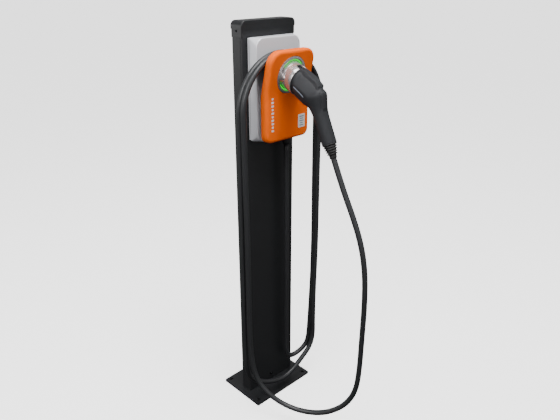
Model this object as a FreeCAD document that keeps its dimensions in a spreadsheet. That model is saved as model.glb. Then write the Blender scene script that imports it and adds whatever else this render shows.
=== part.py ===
import FreeCAD, Part
import Sketcher
import math
import os
import re

# EV charging post: a flat steel column on a base plate, a wall-type charger on
# its front, a leaning cover with a holster, and a tethered charging cable.
# Millimetres. Origin: centre of the base plate's underside, +Z up, front = -Y.

Vector, Rotation, Placement = FreeCAD.Vector, FreeCAD.Rotation, FreeCAD.Placement
X_AXIS, Y_AXIS, Z_AXIS = Vector(1, 0, 0), Vector(0, 1, 0), Vector(0, 0, 1)

SIZES = {
    # base plate
    "plate_w": 250, "plate_d": 180, "plate_t": 8,
    "bolt_x": 215, "bolt_y": 150, "bolt_dia": 13, "entry_dia": 40,
    # column: rear channel and front panel, both folded from sheet
    "post_w": 200, "post_d": 43, "post_top": 1250, "sheet": 2,
    "panel_d": 6, "panel_gap": 1.5, "lip": 16, "fold": 2.5,
    # top cap
    "cap_top": 1258.5, "cap_edge": 1236, "collar_low": 1214,
    "cap_over": 3, "collar_over": 1.6, "cap_round": 15,
    # charger housing on the front of the column
    "box_w": 170, "box_low": 923, "box_high": 1215, "box_round": 25,
    "box_back": 24, "box_split": 32, "box_front": 63.5, "shell": 3,
    # front cover: upright below its knee, leaning out above it; distances of its
    # back and face from the middle plane
    "cover_w": 170, "cover_low": 926, "cover_knee": 1064, "cover_high": 1185,
    "back_low": 78.5, "back_high": 108, "face_low": 103.5, "face_high": 130.5,
    "cover_top_round": 36, "cover_low_round": 22, "cover_edge": 9, "knee_round": 120,
    # holster and plug: mouth centre and the tilt of their common axis
    "mouth_y": -131, "mouth_z": 1107, "dock_tilt": 22,
    "sleeve_out": 39.5, "sleeve_in": 36, "bezel_out": 54, "bezel_in": 45.5,
    "plug_rad": 34, "plug_wall": 3, "nose_rad": 29, "nose_in": 39,
    # charging cable and the arch that it is wound over
    "cable_dia": 16.5, "hook_rad": 142, "hook_x": -5, "hook_z": 1018,
    # screws
    "screw": 6, "screw_head": 11,
}

doc = FreeCAD.newDocument("ChargingPost")
sheet = doc.addObject("Spreadsheet::Sheet", "Sizes")
for row, (alias, number) in enumerate(SIZES.items(), start=1):
    sheet.set("A%d" % row, alias)
    sheet.set("B%d" % row, str(number))
    sheet.setAlias("B%d" % row, alias)
doc.recompute()

ALIAS = re.compile(r"\b(%s)\b" % "|".join(SIZES))
pieces = {}

# where the charger's bracket is bolted, where its supply lead comes through,
# where its cable leaves and where the hook is bolted on: (x, z) or x, y
BRACKET_SPOTS = [(-50, 985), (50, 985), (-50, 1193), (50, 1193)]
LEAD_X, LEAD_Z = 10, 945
GLAND_X, GLAND_Y = 46, -48
CAP_SCREW_Z = 1231
TALLY_X, TALLY_Z = -63, 964
LABEL_SPOT = (53, 974.5)
HOOK_SPOTS = [(-40, 1035), (40, 1035), (-40, 1140), (40, 1140)]


def size(alias):
    """Read one driving dimension back from the sheet."""
    return float(sheet.get(alias))


def bind(obj, prop, formula):
    """Bind a property to a formula of sheet aliases, given as text or a number."""
    obj.setExpression(prop, ALIAS.sub(r"Sizes.\1", str(formula)))


def bind_base(obj, x, y, z):
    for axis, formula in zip("xyz", (x, y, z)):
        bind(obj, "Placement.Base." + axis, formula)


def keep(name, obj):
    """Register a finished sub-part under its own name."""
    obj.Label = name
    pieces[name] = obj
    return obj


# ---------------------------------------------------------------- primitives

def block(name, length, depth, height, x, y, z):
    """A box from its lowest corner."""
    obj = doc.addObject("Part::Box", name)
    bind(obj, "Length", length)
    bind(obj, "Width", depth)
    bind(obj, "Height", height)
    bind_base(obj, x, y, z)
    return obj


def centred(name, length, depth, height, x, y, z):
    """A box centred on x, from its nearest y and lowest z."""
    return block(name, length, depth, height, "(%s) - (%s) / 2" % (x, length), y, z)


def rod(name, radius, height, x, y, z, turn=None):
    """A cylinder from its foot; turn sets its direction."""
    obj = doc.addObject("Part::Cylinder", name)
    bind(obj, "Radius", radius)
    bind(obj, "Height", height)
    if turn:
        obj.Placement = Placement(Vector(), turn)
    bind_base(obj, x, y, z)
    return obj


FORWARD = Rotation(X_AXIS, 90)      # +Z turned to -Y
SIDEWAYS = Rotation(Y_AXIS, 90)     # +Z turned to +X


def fuse(name, shapes):
    obj = doc.addObject("Part::MultiFuse", name)
    obj.Shapes = shapes
    return obj


def common(name, first, second):
    obj = doc.addObject("Part::Common", name)
    obj.Base, obj.Tool = first, second
    return obj


def cut(name, base, tool):
    obj = doc.addObject("Part::Cut", name)
    obj.Base, obj.Tool = base, tool
    return obj


def group(name, shapes):
    """Separate solids of one kind kept as one node."""
    obj = doc.addObject("Part::Compound", name)
    obj.Links = shapes
    return keep(name, obj)


def edge_names(shape, test):
    return [i for i, edge in enumerate(shape.Edges, start=1) if test(edge)]


def rounded(name, base, radius, test):
    """Fillet the edges of base that pass the test."""
    doc.recompute()
    obj = doc.addObject("Part::Fillet", name)
    obj.Base = base
    obj.Edges = [(i, radius, radius) for i in edge_names(base.Shape, test)]
    return obj


def runs_along(axis):
    def test(edge):
        if edge.Curve.TypeId != "Part::GeomLine":
            return False
        a, b = edge.Vertexes[0].Point, edge.Vertexes[-1].Point
        return abs((b - a).normalize().dot(axis)) > 0.999
    return test


def at_level(axis, level):
    """Edges that lie wholly on the plane at this level of one axis."""
    def test(edge):
        box = edge.BoundBox
        low = Vector(box.XMin, box.YMin, box.ZMin).dot(axis)
        high = Vector(box.XMax, box.YMax, box.ZMax).dot(axis)
        return abs(low - level) < 0.01 and abs(high - level) < 0.01
    return test


# ------------------------------------------------------- bodies and sketches

def new_body(name):
    return doc.addObject("PartDesign::Body", name)


def new_sketch(body, name, role, offset=0):
    """A sketch on one of the body's origin planes."""
    plane = [f for f in body.Origin.OriginFeatures if f.Role == role][0]
    obj = body.newObject("Sketcher::SketchObject", name)
    obj.AttachmentSupport = [(plane, "")]
    obj.MapMode = "FlatFace"
    obj.AttachmentOffset = Placement(Vector(0, 0, offset), Rotation())
    return obj


def outline(sketch, corners):
    """A closed outline of straight edges whose corners are bound to the sheet."""
    count = len(corners)
    start = [Vector(math.cos(2 * math.pi * i / count), math.sin(2 * math.pi * i / count), 0)
             for i in range(count)]
    for i in range(count):
        sketch.addGeometry(Part.LineSegment(start[i], start[(i + 1) % count]))
    for i in range(count):
        sketch.addConstraint(Sketcher.Constraint("Coincident", i, 2, (i + 1) % count, 1))
    for i, corner in enumerate(corners):
        for kind, formula, first in zip(("DistanceX", "DistanceY"), corner, start[i]):
            rule = Sketcher.Constraint(kind, -1, 1, i, 1, first)
            index = sketch.addConstraint(rule)
            bind(sketch, "Constraints[%d]" % index, formula)
    return sketch


def pad(body, sketch, length, both=False):
    obj = body.newObject("PartDesign::Pad", sketch.Name + "Pad")
    obj.Profile = sketch
    bind(obj, "Length", length)
    obj.Midplane = both
    sketch.Visibility = False
    return obj


def spun(body, sketch):
    """Revolve a sketch on the XZ plane about the body's own Z axis."""
    obj = body.newObject("PartDesign::Revolution", sketch.Name + "Turn")
    obj.Profile = sketch
    obj.ReferenceAxis = (sketch, ["V_Axis"])
    obj.Angle = 360
    return obj


def body_fillet(body, base, radius, test, name):
    doc.recompute()
    obj = body.newObject("PartDesign::Fillet", name)
    obj.Base = (base, ["Edge%d" % i for i in edge_names(base.Shape, test)])
    bind(obj, "Radius", radius)
    return obj


def padded(name, role, corners, length, both=False, offset=0):
    body = new_body(name)
    sketch = outline(new_sketch(body, name + "Outline", role, offset), corners)
    return body, pad(body, sketch, length, both)


def turned(name, profile):
    """A body of revolution about its Z axis, from (radius, height) corners."""
    body = new_body(name)
    sketch = outline(new_sketch(body, name + "Profile", "XZ_Plane"), profile)
    spun(body, sketch)
    return body


# ------------------------------------------------------------- placed screws

def screw_set(name, spots, length, turn, head="screw_head"):
    """Button-head screws: a domed head on a shank, at (x, y, z) spots.

    Each spot is the seat of the head; the shank runs from it along turn.
    """
    solids = []
    for i, (x, y, z) in enumerate(spots):
        label = "%s_%d" % (name, i + 1)
        shank = doc.addObject("Part::Cylinder", label + "_shank")
        bind(shank, "Radius", "screw / 2")
        bind(shank, "Height", length)
        cap = doc.addObject("Part::Cone", label + "_cap")
        bind(cap, "Radius1", "%s / 2" % head)
        bind(cap, "Radius2", "%s / 3" % head)
        bind(cap, "Height", "%s / 4" % head)
        cap.Placement = Placement(Vector(), Rotation(X_AXIS, 180))
        drive = doc.addObject("Part::Prism", label + "_drive")
        drive.Polygon = 6
        bind(drive, "Circumradius", "screw / 3")
        bind(drive, "Height", "%s / 4" % head)
        drive.Placement = Placement(Vector(0, 0, -size(head) * 0.4), Rotation())
        whole = cut(label, fuse(label + "_body", [shank, cap]), drive)
        whole.Placement = Placement(Vector(x, y, z), turn)
        solids.append(whole)
    return group(name, solids)


INTO_BACK = Rotation(X_AXIS, -90)    # shank runs towards +Y
INTO_LEFT = Rotation(Y_AXIS, 90)     # shank runs towards +X
INTO_RIGHT = Rotation(Y_AXIS, -90)   # shank runs towards -X


# -------------------------------------------------------------- base, column

def base_plate():
    body, last = padded("base_plate", "XY_Plane", [
        ("-plate_w / 2", "-plate_d / 2"), ("plate_w / 2", "-plate_d / 2"),
        ("plate_w / 2", "plate_d / 2"), ("-plate_w / 2", "plate_d / 2")], "plate_t")
    body_fillet(body, last, 3, runs_along(Z_AXIS), "PlateCorners")
    holes = new_sketch(body, "PlateHoles", "XY_Plane", size("plate_t"))
    spots = [("%s bolt_x / 2" % a, "%s bolt_y / 2" % b, "bolt_dia / 2")
             for a in "+-" for b in "+-"] + [("0", "0", "entry_dia / 2")]
    for i, (x, y, radius) in enumerate(spots):
        holes.addGeometry(Part.Circle(Vector(10 * i, 0, 0), Z_AXIS, 4))
        for kind, formula in (("DistanceX", x), ("DistanceY", y)):
            if formula != "0":
                index = holes.addConstraint(Sketcher.Constraint(kind, -1, 1, i, 3, 1.0))
                bind(holes, "Constraints[%d]" % index, formula)
        if x == "0":
            holes.addConstraint(Sketcher.Constraint("Coincident", -1, 1, i, 3))
        index = holes.addConstraint(Sketcher.Constraint("Radius", i, 4.0))
        bind(holes, "Constraints[%d]" % index, radius)
    doc.recompute()
    before = body.Shape.Volume
    bore = body.newObject("PartDesign::Pocket", "PlateBores")
    bore.Profile = holes
    bore.Type = 1
    doc.recompute()
    if body.Shape.Volume > before - 1000:
        raise RuntimeError("the plate's holes cut nothing")
    keep("base_plate", body)


def column():
    side, front = "post_w / 2", "-post_d / 2 + panel_d + panel_gap"
    outer = [("-%s" % side, front), ("-%s + lip" % side, front),
             ("-%s + lip" % side, "%s + sheet" % front), ("-%s + sheet" % side, "%s + sheet" % front),
             ("-%s + sheet" % side, "post_d / 2 - sheet"), ("%s - sheet" % side, "post_d / 2 - sheet"),
             ("%s - sheet" % side, "%s + sheet" % front), ("%s - lip" % side, "%s + sheet" % front),
             ("%s - lip" % side, front), (side, front),
             (side, "post_d / 2"), ("-%s" % side, "post_d / 2")]
    body, last = padded("rear_channel", "XY_Plane", outer, "post_top - plate_t", offset=size("plate_t"))

    def outer_fold(edge):
        return runs_along(Z_AXIS)(edge) and abs(edge.Vertexes[0].X) > size("post_w") / 2 - 0.1
    body_fillet(body, last, "fold * 0.7", outer_fold, "ChannelFolds")
    ways = [rod("channel_way_%d" % i, "screw / 3", 12, x, 0, CAP_SCREW_Z, SIDEWAYS)
            for i, x in enumerate(("-post_w / 2 - 6", "post_w / 2 - 6"))]
    keep("rear_channel", cut("rear_channel", body, fuse("channel_ways", ways)))

    face = "-post_d / 2"
    tray = [("-%s" % side, face), (side, face), (side, "%s + panel_d" % face),
            ("%s - sheet" % side, "%s + panel_d" % face), ("%s - sheet" % side, "%s + sheet" % face),
            ("-%s + sheet" % side, "%s + sheet" % face), ("-%s + sheet" % side, "%s + panel_d" % face),
            ("-%s" % side, "%s + panel_d" % face)]
    body, last = padded("panel", "XY_Plane", tray, "post_top - plate_t - 1.5", offset=size("plate_t") + 1.5)

    def front_fold(edge):
        x, y = abs(edge.Vertexes[0].X), edge.Vertexes[0].Y
        return (runs_along(Z_AXIS)(edge) and x > size("post_w") / 2 - 0.1
                and y < -size("post_d") / 2 + 0.1)
    body_fillet(body, last, "fold", front_fold, "PanelFolds")
    holes = [rod("lead_hole", 11, 8, LEAD_X, "%s - 2" % face, LEAD_Z, INTO_BACK),
             rod("foot_hole", "screw / 2 + 0.2", 8, 0, "%s - 2" % face, 32, INTO_BACK)]
    holes += [rod("bracket_hole_%d" % i, "screw / 2 + 0.2", 8, x, "%s - 2" % face, z, INTO_BACK)
              for i, (x, z) in enumerate(BRACKET_SPOTS)]
    keep("front_panel", cut("front_panel", body, fuse("panel_holes", holes)))

    strips = [block("gasket_strip_%d" % i, 8, "panel_d - sheet + panel_gap", "post_top - 60",
                    x, "-post_d / 2 + sheet", 40)
              for i, x in enumerate(("-(post_w / 2 - lip / 2) - 4", "post_w / 2 - lip / 2 - 4"))]
    group("panel_gaskets", strips)


def foot_bracket():
    upright = centred("bracket_upright", 60, "sheet", 44, 0, "-post_d / 2 + sheet", "plate_t")
    flange = centred("bracket_flange", 60, 22, "sheet", 0, "-post_d / 2 + sheet", "plate_t")
    angle = fuse("foot_angle", [upright, flange])
    # the flange leaves the cable entry free
    gap = rod("bracket_gap", "entry_dia / 2 + 1", 20, 0, 0, 0)
    screw_way = rod("bracket_way", "screw / 2", 12, 0, "-post_d / 2", 32, INTO_BACK)
    keep("foot_bracket", cut("foot_bracket", angle, fuse("bracket_ways", [gap, screw_way])))
    screw_set("foot_screw", [(0, -size("post_d") / 2, 32)], 10, INTO_BACK)


def top_cap():
    lid = centred("cap_lid", "post_w + 2 * cap_over", "post_d + 2 * cap_over - 1",
                  "cap_top - cap_edge", 0, "-post_d / 2 - cap_over + 0.5", "cap_edge")
    ends = rounded("cap_ends", lid, size("cap_round"),
                   lambda e: runs_along(Y_AXIS)(e) and e.Vertexes[0].Z > size("cap_top") - 1)
    top = rounded("cap_soft", ends, 2.5, lambda e: e.BoundBox.ZMin > size("cap_edge") + 0.1
                  and e.BoundBox.YLength < 0.1)
    collar = centred("cap_collar", "post_w + 2 * collar_over", "post_d + 2 * collar_over",
                     "cap_edge - collar_low", 0, "-post_d / 2 - collar_over", "collar_low")
    sleeve = rounded("cap_sleeve", collar, 3, runs_along(Z_AXIS))
    inside = centred("cap_inside", "post_w", "post_d", "post_top - collar_low + 1", 0,
                     "-post_d / 2", "collar_low - 1")
    hollow = centred("cap_hollow", "post_w - 14", "post_d - 8", 6, 0, "-post_d / 2 + 4", "post_top - 1")
    shape = cut("cap_shell", fuse("cap_solid", [top, sleeve]), fuse("cap_void", [inside, hollow]))
    ways = [rod("cap_way_%d" % i, "screw / 3", 12, x, 0, CAP_SCREW_Z, SIDEWAYS)
            for i, x in enumerate(("-post_w / 2 - 6", "post_w / 2 - 6"))]
    keep("top_cap", cut("top_cap", shape, fuse("cap_ways", ways)))
    side = size("post_w") / 2 + size("collar_over")
    small_screws("cap_screws", [(-side, 0, CAP_SCREW_Z, INTO_LEFT), (side, 0, CAP_SCREW_Z, INTO_RIGHT)])


def small_screws(name, spots):
    """Small pan-head screws, 4 mm thread, each with its own direction."""
    solids = []
    for i, (x, y, z, turn) in enumerate(spots):
        head = doc.addObject("Part::Cone", "%s_%d_head" % (name, i))
        head.Radius1, head.Radius2, head.Height = 3.6, 2.6, 1.6
        head.Placement = Placement(Vector(), Rotation(X_AXIS, 180))
        shank = doc.addObject("Part::Cylinder", "%s_%d_shank" % (name, i))
        bind(shank, "Radius", "screw / 3")
        shank.Height = 6
        whole = fuse("%s_%d" % (name, i), [head, shank])
        whole.Placement = Placement(Vector(x, y, z), turn)
        solids.append(whole)
    group(name, solids)


# ------------------------------------------------ inside the column: supply

def supply():
    back = "post_d / 2 - sheet"
    rail = fuse("rail_profile", [
        centred("rail_web", 160, 1, 27, 0, "%s - 7.5" % back, 346.5),
        centred("rail_top", 160, 7.5, 1, 0, "%s - 7.5" % back, 373.5),
        centred("rail_low", 160, 7.5, 1, 0, "%s - 7.5" % back, 345.5),
        centred("rail_top_foot", 160, 1, 4, 0, "%s - 1" % back, 374.5),
        centred("rail_low_foot", 160, 1, 4, 0, "%s - 1" % back, 341.5)])
    keep("din_rail", rail)
    blocks = []
    for i in range(5):
        base = block("terminal_base_%d" % i, 9.4, 20, 44, "%d" % (-45 + 10 * i),
                     "%s - 27.5" % back, 338)
        way = rod("terminal_way_%d" % i, 2.4, 60, "%s" % (-40.3 + 10 * i), "%s - 20" % back, 330)
        blocks.append(cut("terminal_%d" % i, base, way))
    group("supply_terminals", blocks)
    breaker = centred("breaker_case", 34, 21, 80, 34, "%s - 28.5" % back, 320)
    lever = centred("breaker_lever", 12, 3, 10, 34, "%s - 31.5" % back, 354)
    keep("supply_breaker", fuse("supply_breaker", [breaker, lever]))
    stud = fuse("earth_bolt", [
        rod("stud_shank", 3, 18, -70, "%s" % back, 240, FORWARD),
        rod("stud_washer", 7, 1.6, -70, "%s" % back, 240, FORWARD)])
    nut = doc.addObject("Part::Prism", "stud_nut")
    nut.Polygon, nut.Circumradius, nut.Height = 6, 5.8, 5
    nut.Placement = Placement(Vector(), FORWARD)
    bind_base(nut, -70, "%s - 1.6" % back, 240)
    keep("earth_stud", fuse("earth_stud", [stud, nut]))



def bracket():
    """Bars behind the panel, spacers, and the plate that the charger hangs on."""
    lip_back = "-post_d / 2 + panel_d + panel_gap + sheet"
    bars = [centred("mount_bar_%d" % i, "post_w - 2 * sheet", 4, 30, 0, lip_back, z)
            for i, z in enumerate((970, 1178))]
    ways = fuse("bar_ways", [rod("bar_way_%d" % i, "screw / 2", 12, x, -14, z, INTO_BACK)
                             for i, (x, z) in enumerate(BRACKET_SPOTS)])
    group("mounting_bars", [cut("bar_%d" % i, bar, ways) for i, bar in enumerate(bars)])
    tubes = []
    for i, (x, z) in enumerate(BRACKET_SPOTS):
        depth = "panel_d + panel_gap"
        wall = rod("spacer_wall_%d" % i, 7, depth, x, "-post_d / 2 + sheet", z, INTO_BACK)
        bore = rod("spacer_bore_%d" % i, "screw / 2", depth, x, "-post_d / 2 + sheet", z, INTO_BACK)
        tubes.append(cut("spacer_%d" % i, wall, bore))
    group("bar_spacers", tubes)
    plate = centred("hanger", 140, "box_back - post_d / 2", 245, 0, "-box_back", 960)
    soft = rounded("hanger_soft", plate, 8, runs_along(Y_AXIS))
    ways = [rod("hanger_way_%d" % i, "screw / 2 + 0.2", 6, x, "-box_back - 1", z, INTO_BACK)
            for i, (x, z) in enumerate(BRACKET_SPOTS)]
    keep("wall_bracket", cut("wall_bracket", soft, fuse("hanger_ways", ways)))


# ------------------------------------------------------------ charger housing

def front_slab(name, width, low, high, near, far, corner):
    """A slab seen from the front: width by height, corners rounded, near to far."""
    body, last = padded(name, "XZ_Plane", [
        ("-(%s) / 2" % width, low), ("(%s) / 2" % width, low),
        ("(%s) / 2" % width, high), ("-(%s) / 2" % width, high)],
        "(%s) - (%s)" % (far, near))
    bind(body, "Placement.Base.y", "-(%s)" % near)
    body_fillet(body, last, corner, runs_along(Y_AXIS), name + "Corners")
    doc.recompute()
    return body


def housing():
    # back pan: a shallow tray against the bracket
    pan = front_slab("pan_outer", "box_w", "box_low", "box_high", "box_back", "box_split", "box_round")
    pan_in = front_slab("pan_inner", "box_w - 2 * shell", "box_low + shell", "box_high - shell",
                        "box_back + shell", "box_split + 1", "box_round - shell")
    lead_way = rod("pan_lead_way", 9, 12, LEAD_X, "-box_split - 1", LEAD_Z, INTO_BACK)
    seats = [rod("pan_screw_way_%d" % i, "screw / 2 + 0.2", 12, x, "-box_split - 1", z, INTO_BACK)
             for i, (x, z) in enumerate(BRACKET_SPOTS)]
    keep("housing_back", cut("housing_back", pan, fuse("pan_voids", [pan_in, lead_way] + seats)))
    screw_set("bracket_screws", [(x, -size("box_back") - size("shell"), z) for x, z in BRACKET_SPOTS],
              19, INTO_BACK)

    # front shell, with its soft front edge
    outer = front_slab("lid_outer", "box_w", "box_low", "box_high",
                       "box_split + 0.8", "box_front", "box_round")
    inner = front_slab("lid_inner", "box_w - 2 * shell", "box_low + shell", "box_high - shell",
                       "box_split", "box_front - shell", "box_round - shell")
    soft = rounded("lid_soft", outer, 3, at_level(Y_AXIS, -size("box_front")))
    lid_x, lid_z = size("box_w") / 2 - 14, (size("box_low") + 14, size("box_high") - 14)
    posts = [rod("lid_post_%d" % i, 5, "box_front - shell - box_split - 0.8", x,
                 "-box_split - 0.8", z, FORWARD)
             for i, (x, z) in enumerate([(a * lid_x, b) for a in (-1, 1) for b in lid_z])]
    gland_way = rod("gland_way", 10, 12, GLAND_X, GLAND_Y, "box_low - 4")
    hook_ways = [rod("lid_hook_way_%d" % i, "screw / 2", 8, x, "-box_front - 2", z, INTO_BACK)
                 for i, (x, z) in enumerate(HOOK_SPOTS)]
    hollow = cut("lid_hollow", soft, inner)
    keep("housing_front", cut("housing_front", fuse("lid_with_posts", [hollow] + posts),
                              fuse("lid_ways", [gland_way] + hook_ways)))

    seal_out = front_slab("seal_outer", "box_w - 1", "box_low + 0.5", "box_high - 0.5",
                          "box_split", "box_split + 0.8", "box_round - 0.5")
    seal_in = front_slab("seal_inner", "box_w - 2 * shell", "box_low + shell", "box_high - shell",
                         "box_split - 1", "box_split + 2", "box_round - shell")
    keep("housing_gasket", cut("housing_gasket", seal_out, seal_in))


def electronics():
    near = "-box_back - shell"
    board = front_slab("board_slab", "130", "1010", "1100", "box_back + shell + 6",
                       "box_back + shell + 7.6", "4")
    keep("control_board", board)
    chips = [centred("chip_%d" % i, w, h, w, x, "-box_back - shell - 7.6 - %s" % h, z)
             for i, (w, h, x, z) in enumerate([(18, 3, -30, 1040), (12, 3, 5, 1060),
                                                (24, 9, 35, 1035), (10, 6, -48, 1075)])]
    group("board_parts", chips)
    spots = [(-60, 1015), (60, 1015), (-60, 1095), (60, 1095)]
    group("board_spacers", [rod("board_spacer_%d" % i, 3.5, 6, x, near, z, FORWARD)
                            for i, (x, z) in enumerate(spots)])
    case = centred("contactor_case", 52, 30, 62, -38, "%s - 30" % near, 1115)
    caps = [centred("contactor_cap_%d" % i, 44, 24, 8, -38, "%s - 27" % near, z)
            for i, z in enumerate((1107, 1177))]
    keep("contactor", fuse("contactor", [case] + caps))
    keep("power_supply", centred("power_supply", 56, 28, 60, 35, "%s - 28" % near, 1115))
    keep("residual_sensor", cut("residual_sensor", rod("sensor_ring", 17, 16, 40, near, 955, FORWARD),
                                rod("sensor_bore", 10, 20, 40, "%s + 1" % near, 955, FORWARD)))
    cells = [cut("link_%d" % i, block("link_body_%d" % i, 11, 22, 30, -62 + 12 * i, "%s - 22" % near, 945),
                 rod("link_way_%d" % i, 2.6, 40, -56.5 + 12 * i, "%s - 14" % near, 940))
             for i in range(5)]
    group("charger_terminals", cells)


def gland():
    """Cable gland under the housing: a hex body, a locknut and a domed nut."""
    top = size("box_low")
    hexagon = doc.addObject("Part::Prism", "gland_hex")
    hexagon.Polygon, hexagon.Circumradius, hexagon.Height = 6, 14.5, 9
    hexagon.Placement = Placement(Vector(GLAND_X, GLAND_Y, top - 9), Rotation())
    thread = rod("gland_thread", 9.9, 14, GLAND_X, GLAND_Y, top - 9)
    bore = rod("gland_bore", "cable_dia / 2 - 0.6", 40, GLAND_X, GLAND_Y, top - 30)
    keep("gland_body", cut("gland_body", fuse("gland_solid", [hexagon, thread]), bore))
    nut = doc.addObject("Part::Prism", "gland_locknut_hex")
    nut.Polygon, nut.Circumradius, nut.Height = 6, 13, 5
    nut.Placement = Placement(Vector(GLAND_X, GLAND_Y, top + size("shell")), Rotation())
    keep("gland_locknut", cut("gland_locknut", nut, rod("locknut_bore", 9.9, 9, GLAND_X, GLAND_Y, top)))
    dome = turned("gland_dome", [("0", "0"), ("11", "0"), ("13", "6"), ("13", "20"),
                                 ("cable_dia / 2", "20"), ("cable_dia / 2", "3"), ("0", "3")])
    dome.Placement = Placement(Vector(GLAND_X, GLAND_Y, top - 29), Rotation())
    keep("gland_nut", dome)


# ------------------------------------------------------- hook and front cover

def leaning(name, width, low, high, near, far):
    """A solid between two upright profiles that lean out above the knee.

    near and far are the distances of its back and front from the middle plane,
    each given as (below the knee, at the cover's top).
    """
    def corner(distances, height):
        below, top = distances
        if height in (low, "cover_knee"):
            return "-(%s)" % below, height
        reach = "(%s - cover_knee) / (cover_high - cover_knee)" % height
        return "-(%s + (%s - (%s)) * %s)" % (below, top, below, reach), height
    corners = ([corner(near, low)] + [corner(far, z) for z in (low, "cover_knee", high)]
               + [corner(near, z) for z in (high, "cover_knee")])
    return padded(name, "YZ_Plane", corners, width, both=True)


def cable_hook():
    """Neck between housing and cover, with the arch that carries the cable."""
    space, _ = leaning("hook_space", "118", "1004", "1175", ("box_front", "box_front"),
                       ("back_low", "back_high"))
    arch = cut("hook_arch", rod("arch_outer", "hook_rad", 80, "hook_x", -50, "hook_z", FORWARD),
               rod("arch_inner", "hook_rad - 5", 90, "hook_x", -45, "hook_z", FORWARD))
    neck = centred("hook_neck", 104, 80, 138, 0, -130, 1012)
    soft = rounded("hook_neck_soft", neck, 12, lambda e: runs_along(Y_AXIS)(e) and e.Vertexes[0].Z < 1020)
    core = centred("hook_core", 92, 90, 128, 0, -135, 1026)
    wall = cut("hook_wall", soft, core)
    ring_low = block("hook_flange", 104, 4, 132, -52, "-box_front - 4", 1012)
    flange = rounded("hook_flange_soft", ring_low, 12, runs_along(Y_AXIS))
    solid = fuse("hook_solid", [arch, wall, flange])
    ways = fuse("hook_ways", [rod("hook_way_%d" % i, "screw / 2 + 0.2", 12, x, "-box_front - 8", z, INTO_BACK)
                              for i, (x, z) in enumerate(HOOK_SPOTS)])
    voids = fuse("hook_voids", [ways, axis_rod("hook_dock_way", "bezel_out + 0.4", 60, -46)])
    keep("cable_hook", cut("cable_hook", common("hook_trimmed", solid, space), voids))
    screw_set("hook_screws", [(x, -size("box_front") - 4, z) for x, z in HOOK_SPOTS], 10, INTO_BACK)


def axis_rod(name, radius, length, start):
    """A cylinder on the holster's axis, from start along it."""
    obj = doc.addObject("Part::Cylinder", name)
    bind(obj, "Radius", radius)
    bind(obj, "Height", length)
    obj.Placement = on_axis(start)
    return obj


def tube(name, outer, inner, length, start):
    """A tube on the holster's axis, from start along it."""
    wall = rod(name + "_outer", outer, length, 0, 0, 0)
    bore = rod(name + "_inner", inner, "%s + 2" % length, 0, 0, -1)
    obj = cut(name, wall, bore)
    obj.Placement = on_axis(start)
    return obj


def dock_axis():
    tilt = math.radians(size("dock_tilt"))
    return Vector(0, -math.cos(tilt), -math.sin(tilt))


def on_axis(along=0, rise=0, turn=0):
    """Placement on the plug's axis: local Z outwards, local Y upwards."""
    tilt = math.radians(size("dock_tilt"))
    up = Vector(0, -math.sin(tilt), math.cos(tilt))
    mouth = Vector(0, size("mouth_y"), size("mouth_z"))
    return Placement(mouth + dock_axis() * along + up * rise,
                     Rotation(X_AXIS, 90 + size("dock_tilt") + turn))


def trim(name, obj, along, tilt):
    """Cut away what lies in front of a plane across the axis, tilt from upright."""
    half = doc.addObject("Part::Box", name + "_knife")
    half.Length, half.Width, half.Height = 300, 300, 200
    centre = Vector(0, size("mouth_y"), size("mouth_z")) + dock_axis() * along
    turn = Rotation(X_AXIS, 90 + tilt)
    half.Placement = Placement(centre - turn.multVec(Vector(150, 150, 0)), turn)
    return cut(name, obj, half)


def rounded_cover(name, less, width, low, high, near, far):
    """The cover's outline with its corners, knee and face edge rounded, each by less."""
    body, last = leaning(name, width, low, high, near, far)
    middle = (size("cover_low") + size("cover_high")) / 2

    def corner(upper):
        def test(edge):
            box = edge.BoundBox
            return box.XLength < 0.1 and box.ZLength < 1 and (box.ZMin > middle) == upper
        return test

    def knee(edge):
        return runs_along(X_AXIS)(edge) and abs(edge.BoundBox.ZMin - size("cover_knee")) < 1

    def face_edge(edge):
        box = edge.BoundBox
        inside = size("cover_low") + 9 < box.ZMin and box.ZMax < size("cover_high") - 9
        if runs_along(X_AXIS)(edge) and inside:
            return False
        slope = (size("face_high") - size("face_low")) / (size("cover_high") - size("cover_knee"))
        return all(abs(-v.Y - size("face_low") + less
                       - max(0, v.Z - size("cover_knee")) * slope) < 2 for v in edge.Vertexes)
    tops = body_fillet(body, last, "cover_top_round - %s" % less, corner(True), name + "Top")
    lows = body_fillet(body, tops, "cover_low_round - %s" % less, corner(False), name + "Low")
    bend = body_fillet(body, lows, "knee_round", knee, name + "Knee")
    body_fillet(body, bend, "cover_edge - %s" % less, face_edge, name + "Edge")
    doc.recompute()
    return body


def cover():
    outer = rounded_cover("cover_outer", 0, "cover_w", "cover_low", "cover_high",
                          ("back_low", "back_high"), ("face_low", "face_high"))
    void = rounded_cover("cover_void", size("shell"), "cover_w - 2 * shell", "cover_low + shell",
                         "cover_high - shell", ("back_low - 4", "back_high - 4"),
                         ("face_low - shell", "face_high - shell"))
    hollow = cut("cover_hollow", outer, void)
    boss_in = common("cover_boss", axis_rod("cover_boss_rod", "bezel_out + 3.2", 90, -50), outer)
    bore = axis_rod("cover_bore", "bezel_out + 0.2", 160, -70)
    keep("front_cover", cut("front_cover", fuse("cover_with_boss", [hollow, boss_in]), bore))

    # back plate, let into the cover's rim, with a way for the holster
    slab, _ = leaning("back_slab", "cover_w", "cover_low", "cover_high",
                      ("back_low", "back_high"), ("back_low + 2.5", "back_high + 2.5"))
    plate = common("back_plate", slab, void)
    way = axis_rod("back_way", "bezel_out + 3.4", 160, -70)
    keep("cover_back", cut("cover_back", plate, way))


# -------------------------------------------------------------------- holster

FACE_TILT = 13      # the bezel's front plane, degrees from upright


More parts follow.
